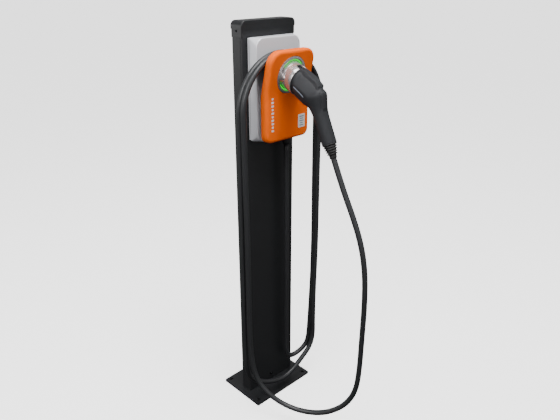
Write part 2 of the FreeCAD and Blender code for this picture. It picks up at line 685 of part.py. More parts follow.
def holster():
    bezel = tube("bezel_tube", "bezel_out", "bezel_in", 40, -40)
    keep("holster_bezel", trim("holster_bezel", bezel, -18, FACE_TILT))
    light = tube("light_tube", "bezel_in", "sleeve_out + 1.2", 20, -29)
    keep("light_ring", trim("light_ring", light, -19, FACE_TILT))
    keep("light_board", tube("light_board", "bezel_in", "sleeve_out + 1.2", 1.6, -31))
    sleeve = tube("sleeve_tube", "sleeve_out", "sleeve_in", 70, -42)
    keep("holster_sleeve", trim("holster_sleeve", sleeve, 18, 14))
    pad_ring = tube("bezel_web_tube", "bezel_in", "sleeve_out", 2.4, -34)
    keep("holster_web", pad_ring)
    keep("park_seat", axis_rod("park_seat", "sleeve_in", 2.6, -42))


def markings():
    """A row of plain tally bars and a plain label, both thin and on the cover."""
    bars = [on_face("tally_%d" % i, 9 if i % 3 else 12, 5.2, TALLY_X, TALLY_Z + 10.4 * i, 0.6)
            for i in range(9)]
    group("tally_marks", bars)
    keep("label_plate", on_face("label_plate", 28, 40, *LABEL_SPOT, 0.8))


def on_face(name, width, height, x, z, thick):
    """A thin slab lying on the cover's upright face, centred at x, z."""
    return centred(name, width, thick, height, x, "-face_low - %s" % thick, z - height / 2)


# ----------------------------------------------------------------------- plug

# Stations along the plug: distance out, rise, turn down, half height, half width
GRIP = [(-8, 0, 0, 34, 34), (6, 0, 0, 34, 34), (20, 0, 0, 34, 34), (34, 0, 0, 34, 33.8),
        (48, -0.5, 2, 34.2, 33.2), (63, -2, 6, 34.5, 32), (79, -6.5, 14, 33.5, 30),
        (96, -17, 29, 28.5, 26), (112, -33.5, 42, 22.5, 21.8), (127, -48, 43, 19.9, 19.4),
        (142, -62.2, 43, 18.6, 18.2), (158, -77.4, 43, 17.8, 17.5), (175, -93.4, 43, 17.3, 17)]
GRIP_TURN = GRIP[-1][2]


def grip_loft(name, less):
    """The plug's body and bent handle as one loft of ovals, smaller by less."""
    ovals = []
    for i, (out, rise, turn, high, wide) in enumerate(GRIP):
        oval = doc.addObject("Part::Ellipse", "%s_oval_%d" % (name, i))
        bind(oval, "MajorRadius", "%s - %s" % (high, less))
        bind(oval, "MinorRadius", "%s - %s" % (wide if wide < high else high - 0.01, less))
        down = Rotation(X_AXIS, turn)
        oval.Placement = Placement(Vector(0, rise, out), down * Rotation(Z_AXIS, 90))
        ovals.append(oval)
    loft = doc.addObject("Part::Loft", name)
    loft.Sections = ovals
    loft.Solid = True
    loft.MaxDegree = 3
    return loft


def plug():
    """Two moulded halves screwed together round the contact nose and the boot."""
    skin = grip_loft("grip_skin", "0")
    core = grip_loft("grip_core", "plug_wall")
    ridge = block("grip_ridge", 26, 8, 68, -13, 28.5, 14)
    ridge_soft = rounded("grip_ridge_soft", ridge, 5,
                         lambda e: runs_along(Z_AXIS)(e) and e.Vertexes[0].Y > 33)
    bosses = [rod("grip_boss_%d" % i, 6, 2 * reach, -reach, rise, out, SIDEWAYS)
              for i, (out, rise, reach) in enumerate(GRIP_SCREWS)]
    voids = [core, block("grip_notch", 12, 8, 16, -6, 31, -6)]
    shell = fuse("grip_bossed", [cut("grip_shell", fuse("grip_outside", [skin, ridge_soft]),
                                     fuse("grip_inside", voids))] + bosses)
    ways = []
    for i, (out, rise, _) in enumerate(GRIP_SCREWS):
        ways.append(rod("grip_seat_%d" % i, 4, 30, -42, rise, out, SIDEWAYS))
        ways.append(rod("grip_thread_%d" % i, 2, 20, -12, rise, out, SIDEWAYS))
    drilled = cut("grip_drilled", shell, fuse("grip_ways", ways))
    for side, x in (("left", -60), ("right", 0)):
        half = block("grip_half_%s" % side, 60, 260, 260, x, -170, -20)
        piece = common("plug_shell_%s" % side, drilled, half)
        piece.Placement = on_axis()
        keep("plug_shell_%s" % side, piece)
    screws = []
    for i, (out, rise, _) in enumerate(GRIP_SCREWS):
        head = rod("grip_screw_head_%d" % i, 3.9, 3, -15, rise, out, SIDEWAYS)
        shank = rod("grip_screw_shank_%d" % i, 2, 20, -12, rise, out, SIDEWAYS)
        screw = fuse("grip_screw_%d" % i, [head, shank])
        screw.Placement = on_axis()
        screws.append(screw)
    group("plug_screws", screws)


def plug_inside():
    """The contact nose, its insert and the seven contact sleeves."""
    back, front = "-nose_in", "14"
    nose = turned("nose_body", [("nose_rad - 3.5", back), ("nose_rad", back), ("nose_rad", "-8"),
                                ("plug_rad - plug_wall - 0.1", "-8"), ("plug_rad - plug_wall - 0.1", "-4"),
                                ("nose_rad", "-4"), ("nose_rad", front), ("nose_rad - 3.5", front)])
    flat = block("nose_flat", 80, 20, "nose_in - 10", -40, 24.5, "-nose_in - 1")
    shape = cut("plug_nose", nose, flat)
    shape.Placement = on_axis()
    keep("plug_nose", shape)
    insert = rod("insert_disc", "nose_rad - 3.5", "nose_in + 8", 0, 0, "-nose_in + 4")
    spots = [(0, -13.5), (-11.5, -5.5), (11.5, -5.5), (-11.5, 7), (11.5, 7), (0, 1), (0, 14)]
    ways = fuse("contact_ways", [rod("contact_way_%d" % i, 4, 34, x, y, "-nose_in + 2")
                                 for i, (x, y) in enumerate(spots)])
    slab = block("insert_flat", 80, 20, "nose_in - 10", -40, 21, "-nose_in - 1")
    carrier = cut("contact_carrier", insert, fuse("insert_voids", [ways, slab]))
    carrier.Placement = on_axis()
    keep("contact_carrier", carrier)
    sleeves = []
    for i, (x, y) in enumerate(spots):
        wall = rod("sleeve_wall_%d" % i, 3.9, 24, x, y, "-nose_in + 12")
        bore = rod("sleeve_bore_%d" % i, 2.9, 20, x, y, "-nose_in + 10")
        one = cut("contact_sleeve_%d" % i, wall, bore)
        one.Placement = on_axis()
        sleeves.append(one)
    group("contact_sleeves", sleeves)


def boot():
    """Ribbed strain relief on the end of the handle."""
    corners = [("0", "-12"), ("13.9", "-12"), ("13.9", "0")]
    for i in range(5):
        radius = 18.2 - i * 1.05
        corners += [("%.2f" % radius, "%.2f" % (i * 7.6)),
                    ("%.2f" % (radius - 0.3), "%.2f" % (i * 7.6 + 4.2)),
                    ("%.2f" % (radius - 3.0), "%.2f" % (i * 7.6 + 4.9)),
                    ("%.2f" % (radius - 3.3), "%.2f" % (i * 7.6 + 7.0))]
    corners += [("11", "42"), ("0", "42")]
    piece = turned("plug_boot", corners)
    out, rise, turn = GRIP[-1][0], GRIP[-1][1], GRIP_TURN
    piece.Placement = on_axis(out, rise, turn)
    keep("plug_boot", piece)


# Screws through the halves of the handle: (distance out, rise, boss half length)
GRIP_SCREWS = [(112, -33, 18.5), (160, -79, 15)]
BOOT_LENGTH = 42


# ---------------------------------------------------------------------- cables

# The charging cable's route from the gland to the plug, chosen by hand.
TAIL = [(46, -48, 894), (46.5, -48, 800), (48, -47, 620), (48, -49, 430), (49, -48, 290),
        (49, -48.5, 200), (49.5, -48, 150), (51, -48, 114), (62, -50, 91), (86, -54, 88),
        (117, -62, 101), (140, -68, 128), (144, -70, 185), (147, -71.5, 270), (152, -72.5, 400),
        (154, -72, 560), (151, -72, 720), (149.5, -72, 860), (148.7, -72, 975)]
OVER_BACK = [(148.5, -72, 1059), (107, -72, 1130.5), (36, -72, 1171.5), (-46, -72, 1171.5),
             (-117, -72, 1130.5), (-158.5, -72, 1059)]
LOWER_LOOP = [(-159, -72, 975), (-160, -72, 830), (-162.5, -72, 650), (-164, -73.5, 480),
              (-164.5, -74, 350), (-163.5, -74, 265), (-162, -74.5, 195), (-152, -75, 139),
              (-126, -77, 104), (-90, -79, 77), (-46, -81.5, 57), (5, -84, 46), (50, -86, 61),
              (90, -88, 90), (127, -90, 119), (143, -91, 163), (140, -91, 235), (142.5, -88.8, 350),
              (147, -88.8, 510), (146, -88.8, 690), (145, -88.8, 850), (147.5, -88.8, 970)]
OVER_FRONT = [(148.5, -88.8, 1059), (107, -88.8, 1130.5), (36, -88.8, 1171.5), (-46, -88.8, 1171.5),
              (-117, -88.8, 1130.5), (-158.5, -88.8, 1059)]
LONG_LOOP = [(-157.5, -88.8, 975), (-157, -88.8, 820), (-156, -91, 640), (-156.5, -91, 480),
             (-157.5, -91.5, 350), (-157, -94, 250), (-153, -103, 172), (-143, -123, 121),
             (-125, -158, 85), (-104, -202, 63), (-78, -256, 56), (-50, -312, 68), (-27, -358, 100),
             (-12, -390, 143), (-3, -409, 197), (0, -414, 275), (-0.5, -415.5, 380), (0, -417, 500),
             (0.5, -411, 602), (0, -393, 682), (0, -361, 752), (0, -327, 812)]
BREAK = 9   # the cable is split half-way along the run after this point of the long loop


def arc_path(points):
    """Straight runs joined by tangent arcs, each as large as its runs allow."""
    points = [Vector(*p) for p in points]
    edges, radii, at = [], [], points[0]
    for before, corner, after in zip(points, points[1:], points[2:]):
        come, leave = corner - before, after - corner
        half = come.getAngle(leave) / 2
        reach = 0.45 * min(come.Length, leave.Length)
        radii.append(reach / math.tan(half))
        start = corner - come.normalize() * reach
        end = corner + leave.normalize() * reach
        inward = (leave - come).normalize()
        middle = corner + inward * (radii[-1] / math.cos(half) - radii[-1])
        edges += [Part.LineSegment(at, start).toShape(), Part.Arc(start, middle, end).toShape()]
        at = end
    edges.append(Part.LineSegment(at, points[-1]).toShape())
    return Part.Wire(edges), radii


def cable(name, points, diameter):
    path, radii = arc_path(points)
    start = path.Edges[0]
    ring = Part.makeCircle(diameter / 2, start.Vertexes[0].Point, start.tangentAt(start.FirstParameter))
    solid = path.makePipeShell([Part.Wire(ring)], True, False)
    expected = math.pi * diameter ** 2 / 4 * path.Length
    print("%s: length %.0f, %d radii from %.0f to %.0f, volume ratio %.4f"
          % (name, path.Length, len(radii), min(radii), max(radii), solid.Volume / expected))
    print("   radii " + " ".join("%.0f" % r for r in radii))
    runs = [(Vector(*b) - Vector(*a)).Length for a, b in zip(points, points[1:])]
    print("   runs " + " ".join("%.0f" % r for r in runs))
    obj = doc.addObject("Part::Feature", name)
    obj.Shape = solid
    obj.Placement = Placement()
    return keep(name, obj)


def cables():
    split = [(a + b) / 2 for a, b in zip(LONG_LOOP[BREAK], LONG_LOOP[BREAK + 1])]
    outlet = on_axis(GRIP[-1][0], GRIP[-1][1], GRIP_TURN)
    end = outlet.multVec(Vector(0, 0, BOOT_LENGTH))
    straight = outlet.multVec(Vector(0, 0, BOOT_LENGTH + 42))
    hung = TAIL + OVER_BACK + LOWER_LOOP + OVER_FRONT + LONG_LOOP[:BREAK + 1] + [split]
    free = [split] + LONG_LOOP[BREAK + 1:] + [tuple(straight), tuple(end)]
    print("cable end %.1f %.1f %.1f, before it %.1f %.1f %.1f" % (*end, *straight))
    cable("hung_cable", hung, size("cable_dia"))
    cable("free_cable", free, size("cable_dia"))
    lead = [(0, 2, 383), (2, 3, 460), (6, 1, 600), (4, 3, 740), (8, 1, 850), (10, 2, 910),
            (LEAD_X, -3, LEAD_Z - 6), (LEAD_X, -12, LEAD_Z), (LEAD_X, -43, LEAD_Z)]
    cable("supply_lead", lead, 14)
    grommet = turned("panel_grommet", [("7", "0"), ("13.5", "0"), ("13.5", "1.4"), ("11", "1.4"),
                                       ("11", "1.4 + sheet"), ("13.5", "1.4 + sheet"),
                                       ("13.5", "2.8 + sheet"), ("7", "2.8 + sheet")])
    grommet.Placement = Placement(Vector(LEAD_X, -size("post_d") / 2 - 1.4, LEAD_Z), INTO_BACK)
    keep("panel_grommet", grommet)


# ----------------------------------------------------------------------- build

for make in (base_plate, column, foot_bracket, top_cap, supply, bracket, housing, electronics,
             gland, cable_hook, cover, holster, markings, plug, plug_inside, boot, cables):
    make()

doc.recompute()
for obj in doc.Objects:
    if "Invalid" in obj.State or "Error" in obj.State:
        raise RuntimeError("%s did not compute: %s" % (obj.Label, obj.State))
os.makedirs("parts", exist_ok=True)
for name, obj in pieces.items():
    if obj.Shape.isNull() or not obj.Shape.isValid() or not obj.Shape.Solids:
        raise RuntimeError("%s has no valid solid" % name)
    obj.Shape.exportStep("parts/%s.step" % name)
    box = obj.Shape.BoundBox
    print("%-18s %d solids %9.0f mm3  x %7.1f %7.1f  y %7.1f %7.1f  z %7.1f %7.1f"
          % (name, len(obj.Shape.Solids), obj.Shape.Volume, box.XMin, box.XMax,
             box.YMin, box.YMax, box.ZMin, box.ZMax))
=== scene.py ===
import math

import bmesh
import bpy
from bpy.props import FloatProperty, FloatVectorProperty, IntProperty, PointerProperty
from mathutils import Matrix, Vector


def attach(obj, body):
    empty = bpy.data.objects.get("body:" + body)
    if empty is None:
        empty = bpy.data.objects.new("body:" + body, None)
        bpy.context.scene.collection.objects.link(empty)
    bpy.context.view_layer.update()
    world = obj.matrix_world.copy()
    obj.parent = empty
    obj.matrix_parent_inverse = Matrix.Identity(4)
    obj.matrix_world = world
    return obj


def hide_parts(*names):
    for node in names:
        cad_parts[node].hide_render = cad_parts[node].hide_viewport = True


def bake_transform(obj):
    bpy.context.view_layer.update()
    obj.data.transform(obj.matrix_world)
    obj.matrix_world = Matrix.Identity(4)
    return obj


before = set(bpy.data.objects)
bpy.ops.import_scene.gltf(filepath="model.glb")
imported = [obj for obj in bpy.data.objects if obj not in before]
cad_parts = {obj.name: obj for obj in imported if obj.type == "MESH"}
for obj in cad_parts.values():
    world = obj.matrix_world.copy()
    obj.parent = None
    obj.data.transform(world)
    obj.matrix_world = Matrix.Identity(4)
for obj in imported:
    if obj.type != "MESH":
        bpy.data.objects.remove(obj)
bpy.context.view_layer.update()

bl_info = {
    "name": "Charging post",
    "version": (1, 0, 0),
    "blender": (4, 5, 0),
    "location": "3D View > Sidebar > Charging post",
    "description": "Builds the visible pieces, finishes and studio of an EV charging post",
    "category": "Add Mesh",
}

MM = 0.001

# The plug and its holster share one axis: mouth centre, outward direction and rise.
DOCK_TILT = math.radians(22)
MOUTH = Vector((0, -0.131, 1.107))
OUT = Vector((0, -math.cos(DOCK_TILT), -math.sin(DOCK_TILT)))
RISE = Vector((0, -math.sin(DOCK_TILT), math.cos(DOCK_TILT)))

# Route of the charging cable in millimetres, from the gland to the plug.
CABLE_ROUTE = [
    (46, -48, 894), (46.5, -48, 800), (48, -47, 620), (48, -49, 430), (49, -48, 290),
    (49, -48.5, 200), (49.5, -48, 150), (51, -48, 114), (62, -50, 91), (86, -54, 88),
    (117, -62, 101), (140, -68, 128), (144, -70, 185), (147, -71.5, 270), (152, -72.5, 400),
    (154, -72, 560), (151, -72, 720), (149.5, -72, 860), (148.7, -72, 975),
    (148.5, -72, 1059), (107, -72, 1130.5), (36, -72, 1171.5), (-46, -72, 1171.5),
    (-117, -72, 1130.5), (-158.5, -72, 1059),
    (-159, -72, 975), (-160, -72, 830), (-162.5, -72, 650), (-164, -73.5, 480),
    (-164.5, -74, 350), (-163.5, -74, 265), (-162, -74.5, 195), (-152, -75, 139),
    (-126, -77, 104), (-90, -79, 77), (-46, -81.5, 57), (5, -84, 46), (50, -86, 61),
    (90, -88, 90), (127, -90, 119), (143, -91, 163), (140, -91, 235), (142.5, -88.8, 350),
    (147, -88.8, 510), (146, -88.8, 690), (145, -88.8, 850), (147.5, -88.8, 970),
    (148.5, -88.8, 1059), (107, -88.8, 1130.5), (36, -88.8, 1171.5), (-46, -88.8, 1171.5),
    (-117, -88.8, 1130.5), (-158.5, -88.8, 1059),
    (-157.5, -88.8, 975), (-157, -88.8, 820), (-156, -91, 640), (-156.5, -91, 480),
    (-157.5, -91.5, 350), (-157, -94, 250), (-153, -103, 172), (-143, -123, 121),
    (-125, -158, 85), (-104, -202, 63), (-78, -256, 56), (-50, -312, 68), (-27, -358, 100),
    (-12, -390, 143), (-3, -409, 197), (0, -414, 275), (-0.5, -415.5, 380), (0, -417, 500),
    (0.5, -411, 602), (0, -393, 682), (0, -361, 752), (0, -327, 812),
    (0, -293.8, 878.7), (0, -276, 916.8)]


# ------------------------------------------------------------------ materials

def linear(text):
    """An sRGB hex colour as linear RGBA."""
    channels = [int(text[i:i + 2], 16) / 255 for i in (1, 3, 5)]
    return tuple(c / 12.92 if c < 0.04045 else ((c + 0.055) / 1.055) ** 2.4
                 for c in channels) + (1.0,)


def add(tree, kind, values=(), links=()):
    """Add one node, set its properties and input values, and link its inputs."""
    node = tree.nodes.new(kind)
    for key, value in dict(values).items():
        if isinstance(key, str) and hasattr(node, key):
            setattr(node, key, value)
        else:
            node.inputs[key].default_value = value
    for key, source in dict(links).items():
        tree.links.new(source, node.inputs[key])
    return node


def finish_of(name, base, shade, grain_mm, bump_mm, surface, mottle_mm=60, spread=0.06):
    """A finish: two close colours mottled at mottle_mm, and a fine surface grain.

    surface holds the shader's own values. Its roughness varies by spread either way.
    """
    material = bpy.data.materials.new(name)
    material.use_nodes = True
    tree = material.node_tree
    tree.nodes.clear()
    place = add(tree, "ShaderNodeTexCoord").outputs["Object"]
    mottle = add(tree, "ShaderNodeTexNoise",
                 {"Scale": 1 / (mottle_mm * MM), "Detail": 3.0, "Roughness": 0.55},
                 {"Vector": place})
    colour = add(tree, "ShaderNodeMix", {"data_type": "RGBA", 6: linear(base), 7: linear(shade)},
                 {0: mottle.outputs["Fac"]})
    grain = add(tree, "ShaderNodeTexNoise",
                {"Scale": 1 / (grain_mm * MM), "Detail": 2.0, "Roughness": 0.5},
                {"Vector": place})
    gloss = surface["Roughness"]
    rough = add(tree, "ShaderNodeMapRange",
                {"From Min": 0.3, "From Max": 0.7, "To Min": max(0.02, gloss - spread),
                 "To Max": gloss + spread}, {"Value": grain.outputs["Fac"]})
    bump = add(tree, "ShaderNodeBump", {"Strength": 0.6, "Distance": bump_mm * MM},
               {"Height": grain.outputs["Fac"]})
    shader = add(tree, "ShaderNodeBsdfPrincipled",
                 {k: v for k, v in surface.items() if k != "Roughness"},
                 {"Base Color": colour.outputs[2], "Roughness": rough.outputs["Result"],
                  "Normal": bump.outputs["Normal"]})
    add(tree, "ShaderNodeOutputMaterial", (), {"Surface": shader.outputs["BSDF"]})
    return material


def make_finishes():
    """Every finish of the post, each named for its material and process."""
    return {
        # polyester powder on steel: dark, a little coarse, with a broad soft sheen
        "powder_coat": finish_of("steel powder coated charcoal", "#232426", "#1E1F21", 5, 0.10,
                                 {"Roughness": 0.42, "IOR": 1.5}, mottle_mm=90),
        # zinc on steel: cold grey with cloudy patches
        "zinc_plate": finish_of("steel zinc plated", "#A8ABB0", "#8F9297", 3, 0.02,
                                {"Roughness": 0.38, "Metallic": 1.0}, mottle_mm=14),
        # blackened steel of the visible screws: darker than the powder coat and smoother
        "black_oxide": finish_of("steel black oxide", "#26272A", "#17181A", 2, 0.01,
                                 {"Roughness": 0.34, "Metallic": 1.0}, mottle_mm=8),
        # ASA of the cap: moulded, satin
        "cap_asa": finish_of("ASA moulded black", "#1D1E20", "#18191B", 3, 0.05,
                             {"Roughness": 0.36, "IOR": 1.5}),
        # ABS painted silver grey: even, satin, with the faintest orange peel
        "silver_abs": finish_of("ABS painted silver grey", "#D9DADE", "#D3D4D9", 7, 0.004,
                                {"Roughness": 0.3, "IOR": 1.6, "Metallic": 0.08},
                                mottle_mm=120, spread=0.02),
        # ABS lacquered orange: saturated colour under a soft clear gloss
        "orange_abs": finish_of("ABS lacquered orange", "#FF6A00", "#FA6600", 7, 0.02,
                                {"Roughness": 0.6, "IOR": 1.18}, mottle_mm=120, spread=0.03),
        # PC of the holster: satin silver that catches a bright rim
        "holster_pc": finish_of("PC painted satin silver", "#CDC8C8", "#C8C2C2", 4, 0.004,
                                {"Roughness": 0.2, "IOR": 1.5, "Metallic": 0.75}, spread=0.02),
        # PA6 of the plug: spark-eroded mould texture that breaks highlights up
        "plug_pa6": finish_of("PA6 moulded black", "#2A2B2E", "#252629", 1.6, 0.08,
                              {"Roughness": 0.6, "IOR": 1.34}, mottle_mm=40),
        # PC/ABS of the hidden black mouldings
        "moulded_black": finish_of("PC ABS moulded black", "#1B1C1E", "#161719", 2.5, 0.06,
                                   {"Roughness": 0.5, "IOR": 1.5}),
        # EPDM: dull and slightly chalky; it also paints the shade in the column's side seams
        "epdm": finish_of("EPDM moulded black and painted seam shade", "#1A1A1B", "#141415", 2, 0.08,
                          {"Roughness": 0.62, "IOR": 1.5}),
        # TPU jacket: extruded, smooth along its length with a silky highlight
        "cable_tpu": finish_of("TPU extruded black", "#2B2C2E", "#262729", 4, 0.05,
                               {"Roughness": 0.4, "IOR": 1.5}, mottle_mm=70),
        # PA66 of terminals and switchgear: light grey
        "grey_pa66": finish_of("PA66 moulded grey", "#989B9E", "#8D9093", 2, 0.04,
                               {"Roughness": 0.5, "IOR": 1.52}),
        # solder mask over glass-filled epoxy
        "solder_mask": finish_of("epoxy board solder mask green", "#1F5A33", "#184A29", 1.5, 0.02,
                                 {"Roughness": 0.3, "IOR": 1.55}, mottle_mm=6),
        # brass: turned
        "turned_brass": finish_of("brass turned", "#B08D4A", "#9C7A3C", 1.2, 0.01,
                                  {"Roughness": 0.3, "Metallic": 1.0}, mottle_mm=5),
        # silver on copper: contacts
        "silver_plate": finish_of("copper silver plated", "#CBCAC6", "#B9B8B3", 1.2, 0.01,
                                  {"Roughness": 0.24, "Metallic": 1.0}, mottle_mm=5),
        # printed film: matt white with a hint of its laminate
        "print_film": finish_of("PET film printed white", "#ECEAE6", "#E2E0DC", 2, 0.01,
                                {"Roughness": 0.42, "IOR": 1.5}, mottle_mm=20),
        # PMMA diffuser lit from behind in green
        "lit_pmma": finish_of("PMMA diffuser lit green", "#0CC42C", "#0AB828", 3, 0.01,
                              {"Roughness": 0.45, "IOR": 1.3,
                               "Emission Color": linear("#0AF52E"), "Emission Strength": 0.85}),
        # grey print on the label, and the painted highlight line along each side of the plug
        "print_grey": finish_of("PET film printed grey and painted plug highlight", "#8F9AA8", "#7C8796", 2, 0.01,
                                {"Roughness": 0.42, "IOR": 1.5}, mottle_mm=20),
    }


# The frame's own pieces that show as they are, under the finish that each takes.
NODE_FINISH = {
    "powder_coat": ["base_plate", "rear_channel", "front_panel"],
    "zinc_plate": ["foot_bracket", "din_rail", "mounting_bars", "bar_spacers", "wall_bracket",
                   "bracket_screws", "hook_screws"],
    "black_oxide": ["foot_screw", "cap_screws", "plug_screws"],
    "cap_asa": ["top_cap"],
    "plug_pa6": ["plug_nose"],
    "moulded_black": ["gland_body", "gland_locknut", "gland_nut", "cable_hook", "cover_back",
                      "park_seat", "contact_carrier", "board_parts", "power_supply",
                      "residual_sensor"],
    "epdm": ["panel_gaskets", "housing_gasket", "panel_grommet"],
    "cable_tpu": ["supply_lead"],
    "grey_pa66": ["supply_terminals", "supply_breaker", "contactor", "charger_terminals"],
    "solder_mask": ["control_board", "light_board"],
    "turned_brass": ["earth_stud", "board_spacers"],
    "silver_plate": ["contact_sleeves"],
}
FINISHES = {}


def finish(name):
    """A finish by its key, made the first time that it is asked for."""
    if not FINISHES:
        FINISHES.update(make_finishes())
    return FINISHES[name]


# ------------------------------------------------------------ mesh building

def new_piece(name, vertices, faces, finish_name, body, slot, smooth=True):
    """A mesh object in the row frame that rides on a body and takes a finish."""
    mesh = bpy.data.meshes.new(name)
    mesh.from_pydata([tuple(v) for v in vertices], [], faces)
    mesh.validate()
    work = bmesh.new()
    work.from_mesh(mesh)
    bmesh.ops.recalc_face_normals(work, faces=work.faces)
    work.to_mesh(mesh)
    work.free()
    for face in mesh.polygons:
        face.use_smooth = smooth
    piece = bpy.data.objects.new(name, mesh)
    bpy.context.scene.collection.objects.link(piece)
    mesh.materials.append(finish(finish_name))
    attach(piece, body)
    return piece


def skin(rings, close_start=True, close_end=True, around=True):
    """Vertices and quads through rings of equal size; ends are closed by a fan."""
    count = len(rings[0])
    vertices = [v for ring in rings for v in ring]
    faces = []
    for i in range(len(rings) - 1):
        for j in range(count if around else count - 1):
            a, b = i * count + j, i * count + (j + 1) % count
            faces.append((a, b, b + count, a + count))
    for close, ring, first in ((close_start, rings[0], 0),
                               (close_end, rings[-1], (len(rings) - 1) * count)):
        if close:
            centre = sum((Vector(v) for v in ring), Vector()) / count
            vertices.append(centre)
            faces += [(first + j, first + (j + 1) % count, len(vertices) - 1)
                      for j in range(count)]
    return vertices, faces


def joined(parts):
    """Vertices and faces of several parts as those of one."""
    vertices, faces = [], []
    for more, sides in parts:
        faces += [tuple(i + len(vertices) for i in face) for face in sides]
        vertices += more
    return vertices, faces


def tube_rings(points, radius, sides):
    """Rings about a line of points, carried along without twisting."""
    rings, normal = [], None
    for i, point in enumerate(points):
        before, after = points[max(i - 1, 0)], points[min(i + 1, len(points) - 1)]
        along = (after - before).normalized()
        if normal is None:
            normal = along.orthogonal().normalized()
        normal = (normal - along * normal.dot(along)).normalized()
        side = along.cross(normal)
        rings.append([point + (normal * math.cos(2 * math.pi * j / sides)
                               + side * math.sin(2 * math.pi * j / sides)) * radius
                      for j in range(sides)])
    return rings


def dock(out, rise, side=0.0):
    """A point in the row frame from millimetres along the plug's axis."""
    return MOUTH + (OUT * out + RISE * rise + Vector((side, 0, 0))) * MM


def in_dock(x, rise, out):
    """The same point from its coordinates across, up and out."""
    return dock(out, rise, x)


def turned_rings(profile, sides, place):
    """Rings of a turned piece from (radius, height) points in millimetres."""
    return [[place(radius * math.cos(2 * math.pi * j / sides),
                   radius * math.sin(2 * math.pi * j / sides), height)
             for j in range(sides)] for radius, height in profile]


def ramp(t, width):
    """Zero below, t above, with a smooth bend of the given half width."""
    if t <= -width:
        return 0.0
    return t if t >= width else (t + width) ** 2 / (4 * width)


def smooth_step(t):
    """Zero up to 0, one from 1, and level at both ends."""
    t = min(1.0, max(0.0, t))
    return t * t * (3 - 2 * t)


LEAST_ROUND = 0.5     # the smallest corner radius that an inset leaves, mm


def rounded_outline(half, low, high, low_round, top_round, inset=0.0, steps=10, runs=14):
    """Points (x, z) round an upright outline with rounded corners, shrunk by inset.

    Each corner takes steps cuts and each straight side runs cuts.
    """
    points = []
    upper, lower = (max(LEAST_ROUND, radius - inset) for radius in (top_round, low_round))
    corners = [(half - inset, high - inset, upper, 0), (-half + inset, high - inset, upper, 90),
               (-half + inset, low + inset, lower, 180), (half - inset, low + inset, lower, 270)]
    for x, z, radius, start in corners:
        cx = x - math.copysign(radius, x)
        cz = z - radius if start < 180 else z + radius
        for i in range(steps + 1):
            angle = math.radians(start + 90 * i / steps)
            points.append((cx + radius * math.cos(angle), cz + radius * math.sin(angle)))
    whole = []
    for i, point in enumerate(points):
        whole.append(point)
        if i % (steps + 1) == steps:
            after = points[(i + 1) % len(points)]
            whole += [tuple(a + (b - a) * k / runs for a, b in zip(point, after))
                      for k in range(1, runs)]
    return whole


# ------------------------------------------------------------------ settings

class CableSettings(bpy.types.PropertyGroup):
    """Sizes of the charging cable."""
    diameter: FloatProperty(name="Diameter", description="Outer diameter of the jacket",
                            default=0.0165, min=0.01, max=0.03, unit="LENGTH")
    sides: IntProperty(name="Sides", description="Faces round the jacket",
                       default=20, min=8, max=48)


class HousingSettings(bpy.types.PropertyGroup):
    """Shape of the charger housing."""
    front_round: FloatProperty(name="Front corner", description="Corner radius of the front, mm",
                               default=27.0, min=5.0, max=60.0)
    back_round: FloatProperty(name="Back corner", description="Corner radius of the back, mm",
                              default=4.0, min=1.0, max=60.0)
    edge: FloatProperty(name="Edge", description="Radius of the front edge, mm",
                        default=3.0, min=0.5, max=10.0)


class CoverSettings(bpy.types.PropertyGroup):
    """Shape of the front cover."""
    edge: FloatProperty(name="Edge", description="Radius of the edge round the face, mm",
                        default=10.0, min=2.0, max=20.0)
    top_round: FloatProperty(name="Top corners", description="Radius of the upper corners, mm",
                             default=36.0, min=10.0, max=60.0)
    low_round: FloatProperty(name="Lower corners", description="Radius of the lower corners, mm",
                             default=22.0, min=10.0, max=60.0)


class HolsterSettings(bpy.types.PropertyGroup):
    """Shape of the holster and its lights."""
    saddle: FloatProperty(name="Saddle", description="Height of the saddles between the lights, mm",
                          default=15.0, min=0.0, max=20.0)
    light_width: FloatProperty(name="Light width", description="Width of the lit strip, mm",
                               default=3.2, min=1.0, max=8.0)


class PlugSettings(bpy.types.PropertyGroup):
    """Shape of the plug and its boot."""
    ridge: FloatProperty(name="Ridge", description="Half width of the ridge on top, mm",
                         default=10.0, min=4.0, max=20.0)
    ribs: IntProperty(name="Ribs", description="Ribs on the strain relief",
                      default=5, min=2, max=12)


class StageSettings(bpy.types.PropertyGroup):
    """Floor, lights and camera."""
    key_power: FloatProperty(name="Key light", description="Power of the large soft light",
                             default=38.0, min=0.0, unit="POWER")
    fill_power: FloatProperty(name="Fill light", description="Power of the front light",
                              default=12.0, min=0.0, unit="POWER")
    top_power: FloatProperty(name="Top light", description="Power of the overhead light",
                             default=88.0, min=0.0, unit="POWER")
    side_power: FloatProperty(name="Side light", default=11.0, min=0.0, unit="POWER",
                              description="Power of the light behind on the left")
    surround: FloatProperty(name="Surround", description="Brightness of the room above the floor",
                            default=0.36, min=0.0)
    floor_glow: FloatProperty(name="Floor glow", description="How strongly the floor whitens",
                              default=1.9, min=0.0)
    floor: FloatVectorProperty(name="Floor", description="Colour of the floor", size=3,
                               default=linear("#F4F4F4")[:3], subtype="COLOR", min=0, max=1)


GROUPS = {"cable": CableSettings, "housing": HousingSettings, "cover": CoverSettings,
          "holster": HolsterSettings, "plug": PlugSettings, "stage": StageSettings}


def settings(context, group):
    return getattr(context.scene, "charging_post_" + group)


# ------------------------------------------------------------------- camera

CAMERA_PLACE = (-1.134, -1.250, 1.386)
CAMERA_PITCH, CAMERA_TURN = 67, -43.8     # degrees up from straight down, and to the right
LENS, SENSOR_WIDTH = 36.45, 36            # mm


